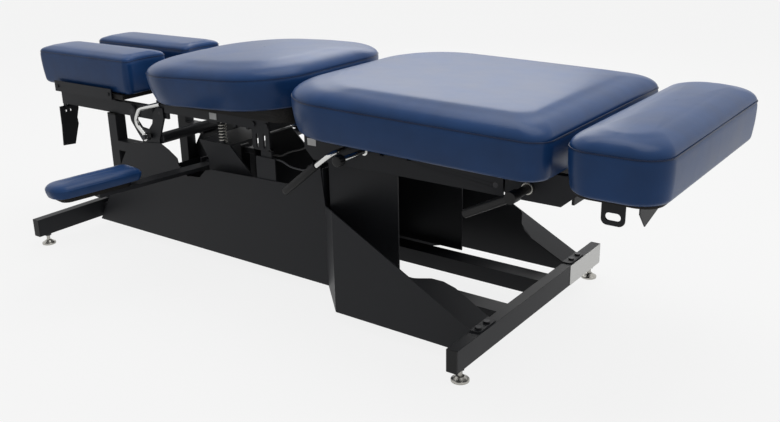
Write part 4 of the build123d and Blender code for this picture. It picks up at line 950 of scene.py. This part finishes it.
class TABLE_OT_stage(bpy.types.Operator):
    """Makes the floor, the lamps, the world and the camera"""

    bl_idname = "table.stage"
    bl_label = "Studio"

    def execute(self, context):
        scene = context.scene
        settings = scene.table_stage
        size = 14.0
        mesh = bpy.data.meshes.new("floor")
        corners = [(-size, -size, 0), (size, -size, 0), (size, size, 0), (-size, size, 0)]
        mesh.from_pydata(corners, [], [(0, 1, 2, 3)])
        floor = bpy.data.objects.new("floor", mesh)
        scene.collection.objects.link(floor)
        material, tree, _ = new_material("Studio floor, pale")
        seen = background_rays(tree)
        cloth = add(tree, "ShaderNodeBsdfDiffuse", {"Color": four(scene.table_finish.floor)})
        glow = add(tree, "ShaderNodeEmission", {"Color": (1, 1, 1, 1), "Strength": 1.0})
        mix = add(tree, "ShaderNodeMath", {"operation": "MULTIPLY", 1: 0.85}, _0=seen)
        both = add(tree, "ShaderNodeMixShader", _0=mix.outputs[0], _1=cloth.outputs[0], _2=glow.outputs[0])
        close_material(tree, both)
        mesh.materials.append(material)

        world = bpy.data.worlds.new("studio")
        world.use_nodes = True
        tree = world.node_tree
        tree.nodes.clear()
        seen = background_rays(tree)
        way = add(tree, "ShaderNodeTexCoord")
        parts = add(tree, "ShaderNodeSeparateXYZ", Vector=way.outputs["Generated"])
        # The room is bright above and behind the table and dim towards its near side.
        behind = add(
            tree, "ShaderNodeMapRange",
            {"From Min": -0.8, "From Max": 0.5, "To Min": 0.06, "To Max": 0.5},
            Value=parts.outputs["Y"]
        )
        above = add(
            tree, "ShaderNodeMapRange",
            {"From Min": 0.1, "From Max": 0.9, "To Min": 0.0, "To Max": 0.35},
            Value=parts.outputs["Z"]
        )
        level = add(tree, "ShaderNodeMath", {"operation": "ADD"}, _0=behind.outputs[0], _1=above.outputs[0])
        room = add(tree, "ShaderNodeBackground", {"Color": (1, 1, 1, 1)}, Strength=level.outputs[0])
        white = add(tree, "ShaderNodeBackground", {"Color": (1, 1, 1, 1), "Strength": 1.0})
        both = add(tree, "ShaderNodeMixShader", _0=seen, _1=room.outputs[0], _2=white.outputs[0])
        add(tree, "ShaderNodeOutputWorld", Surface=both.outputs[0])
        scene.world = world

        for name, place, power, width, height in (
            ("top", (0.2, 0.6, 2.9), settings.top_light, 2.6, 1.6),
            ("back", (-1.4, 2.6, 1.9), settings.back_light, 2.0, 1.2)
        ):
            lamp = bpy.data.lights.new(name, "AREA")
            lamp.shape = "RECTANGLE"
            lamp.size, lamp.size_y, lamp.energy = width, height, power
            light = bpy.data.objects.new(name, lamp)
            light.location = place
            light.rotation_euler = (Vector(place) - Vector((0, 0, 0.4))).to_track_quat("Z", "Y").to_euler()
            scene.collection.objects.link(light)

        camera = bpy.data.cameras.new("camera")
        camera.sensor_width = 36.0
        camera.lens = settings.focal_pixels / 780 * camera.sensor_width
        camera.shift_x = 29.3 / 780
        camera.shift_y = -13.8 / 780
        camera.clip_end = 100
        a, e, r = settings.azimuth, settings.elevation, settings.roll
        back = Vector((sin(a) * cos(e), -cos(a) * cos(e), sin(e)))
        right = Vector((cos(a), sin(a), 0))
        up = back.cross(right)
        side = cos(r) * right + sin(r) * up
        rise = -sin(r) * right + cos(r) * up
        eye = bpy.data.objects.new("camera", camera)
        turn = Matrix((side, rise, back)).transposed().to_4x4()
        eye.matrix_world = Matrix.Translation(Vector(settings.place)) @ turn
        scene.collection.objects.link(eye)
        scene.camera = eye
        scene.view_settings.view_transform = "Standard"
        return {"FINISHED"}


class TABLE_PT_panel(bpy.types.Panel):
    """Lists the parts of the dressing"""

    bl_label = "Adjusting table"
    bl_idname = "TABLE_PT_panel"
    bl_space_type = "VIEW_3D"
    bl_region_type = "UI"
    bl_category = "Table"

    def draw(self, context):
        for piece in OPERATORS:
            self.layout.operator(piece.bl_idname)
        for group in (
            context.scene.table_upholstery, context.scene.table_finish, context.scene.table_stage
        ):
            for key in group.__annotations__:
                self.layout.prop(group, key)


GROUPS = (TableUpholsterySettings, TableFinishSettings, TableStageSettings)
OPERATORS = (
    TABLE_OT_stage,
    TABLE_OT_pelvic_cushion,
    TABLE_OT_foot_cushion,
    TABLE_OT_chest_cushion,
    TABLE_OT_head_cushions,
    TABLE_OT_armrest_pads,
    TABLE_OT_grips,
    TABLE_OT_levelling_feet,
    TABLE_OT_finishes,
)


def register():
    """Registers the classes and hangs the settings on the scene."""
    for kind in GROUPS + OPERATORS + (TABLE_PT_panel,):
        bpy.utils.register_class(kind)
    bpy.types.Scene.table_upholstery = PointerProperty(type=TableUpholsterySettings)
    bpy.types.Scene.table_finish = PointerProperty(type=TableFinishSettings)
    bpy.types.Scene.table_stage = PointerProperty(type=TableStageSettings)


def unregister():
    """Takes the settings and classes away again."""
    del bpy.types.Scene.table_upholstery
    del bpy.types.Scene.table_finish
    del bpy.types.Scene.table_stage
    for kind in reversed(GROUPS + OPERATORS + (TABLE_PT_panel,)):
        bpy.utils.unregister_class(kind)


def main():
    """Registers the add-on and makes every piece in order."""
    register()
    for piece in OPERATORS:
        area, verb = piece.bl_idname.split(".")
        getattr(getattr(bpy.ops, area), verb)()


if __name__ == "__main__":
    main()
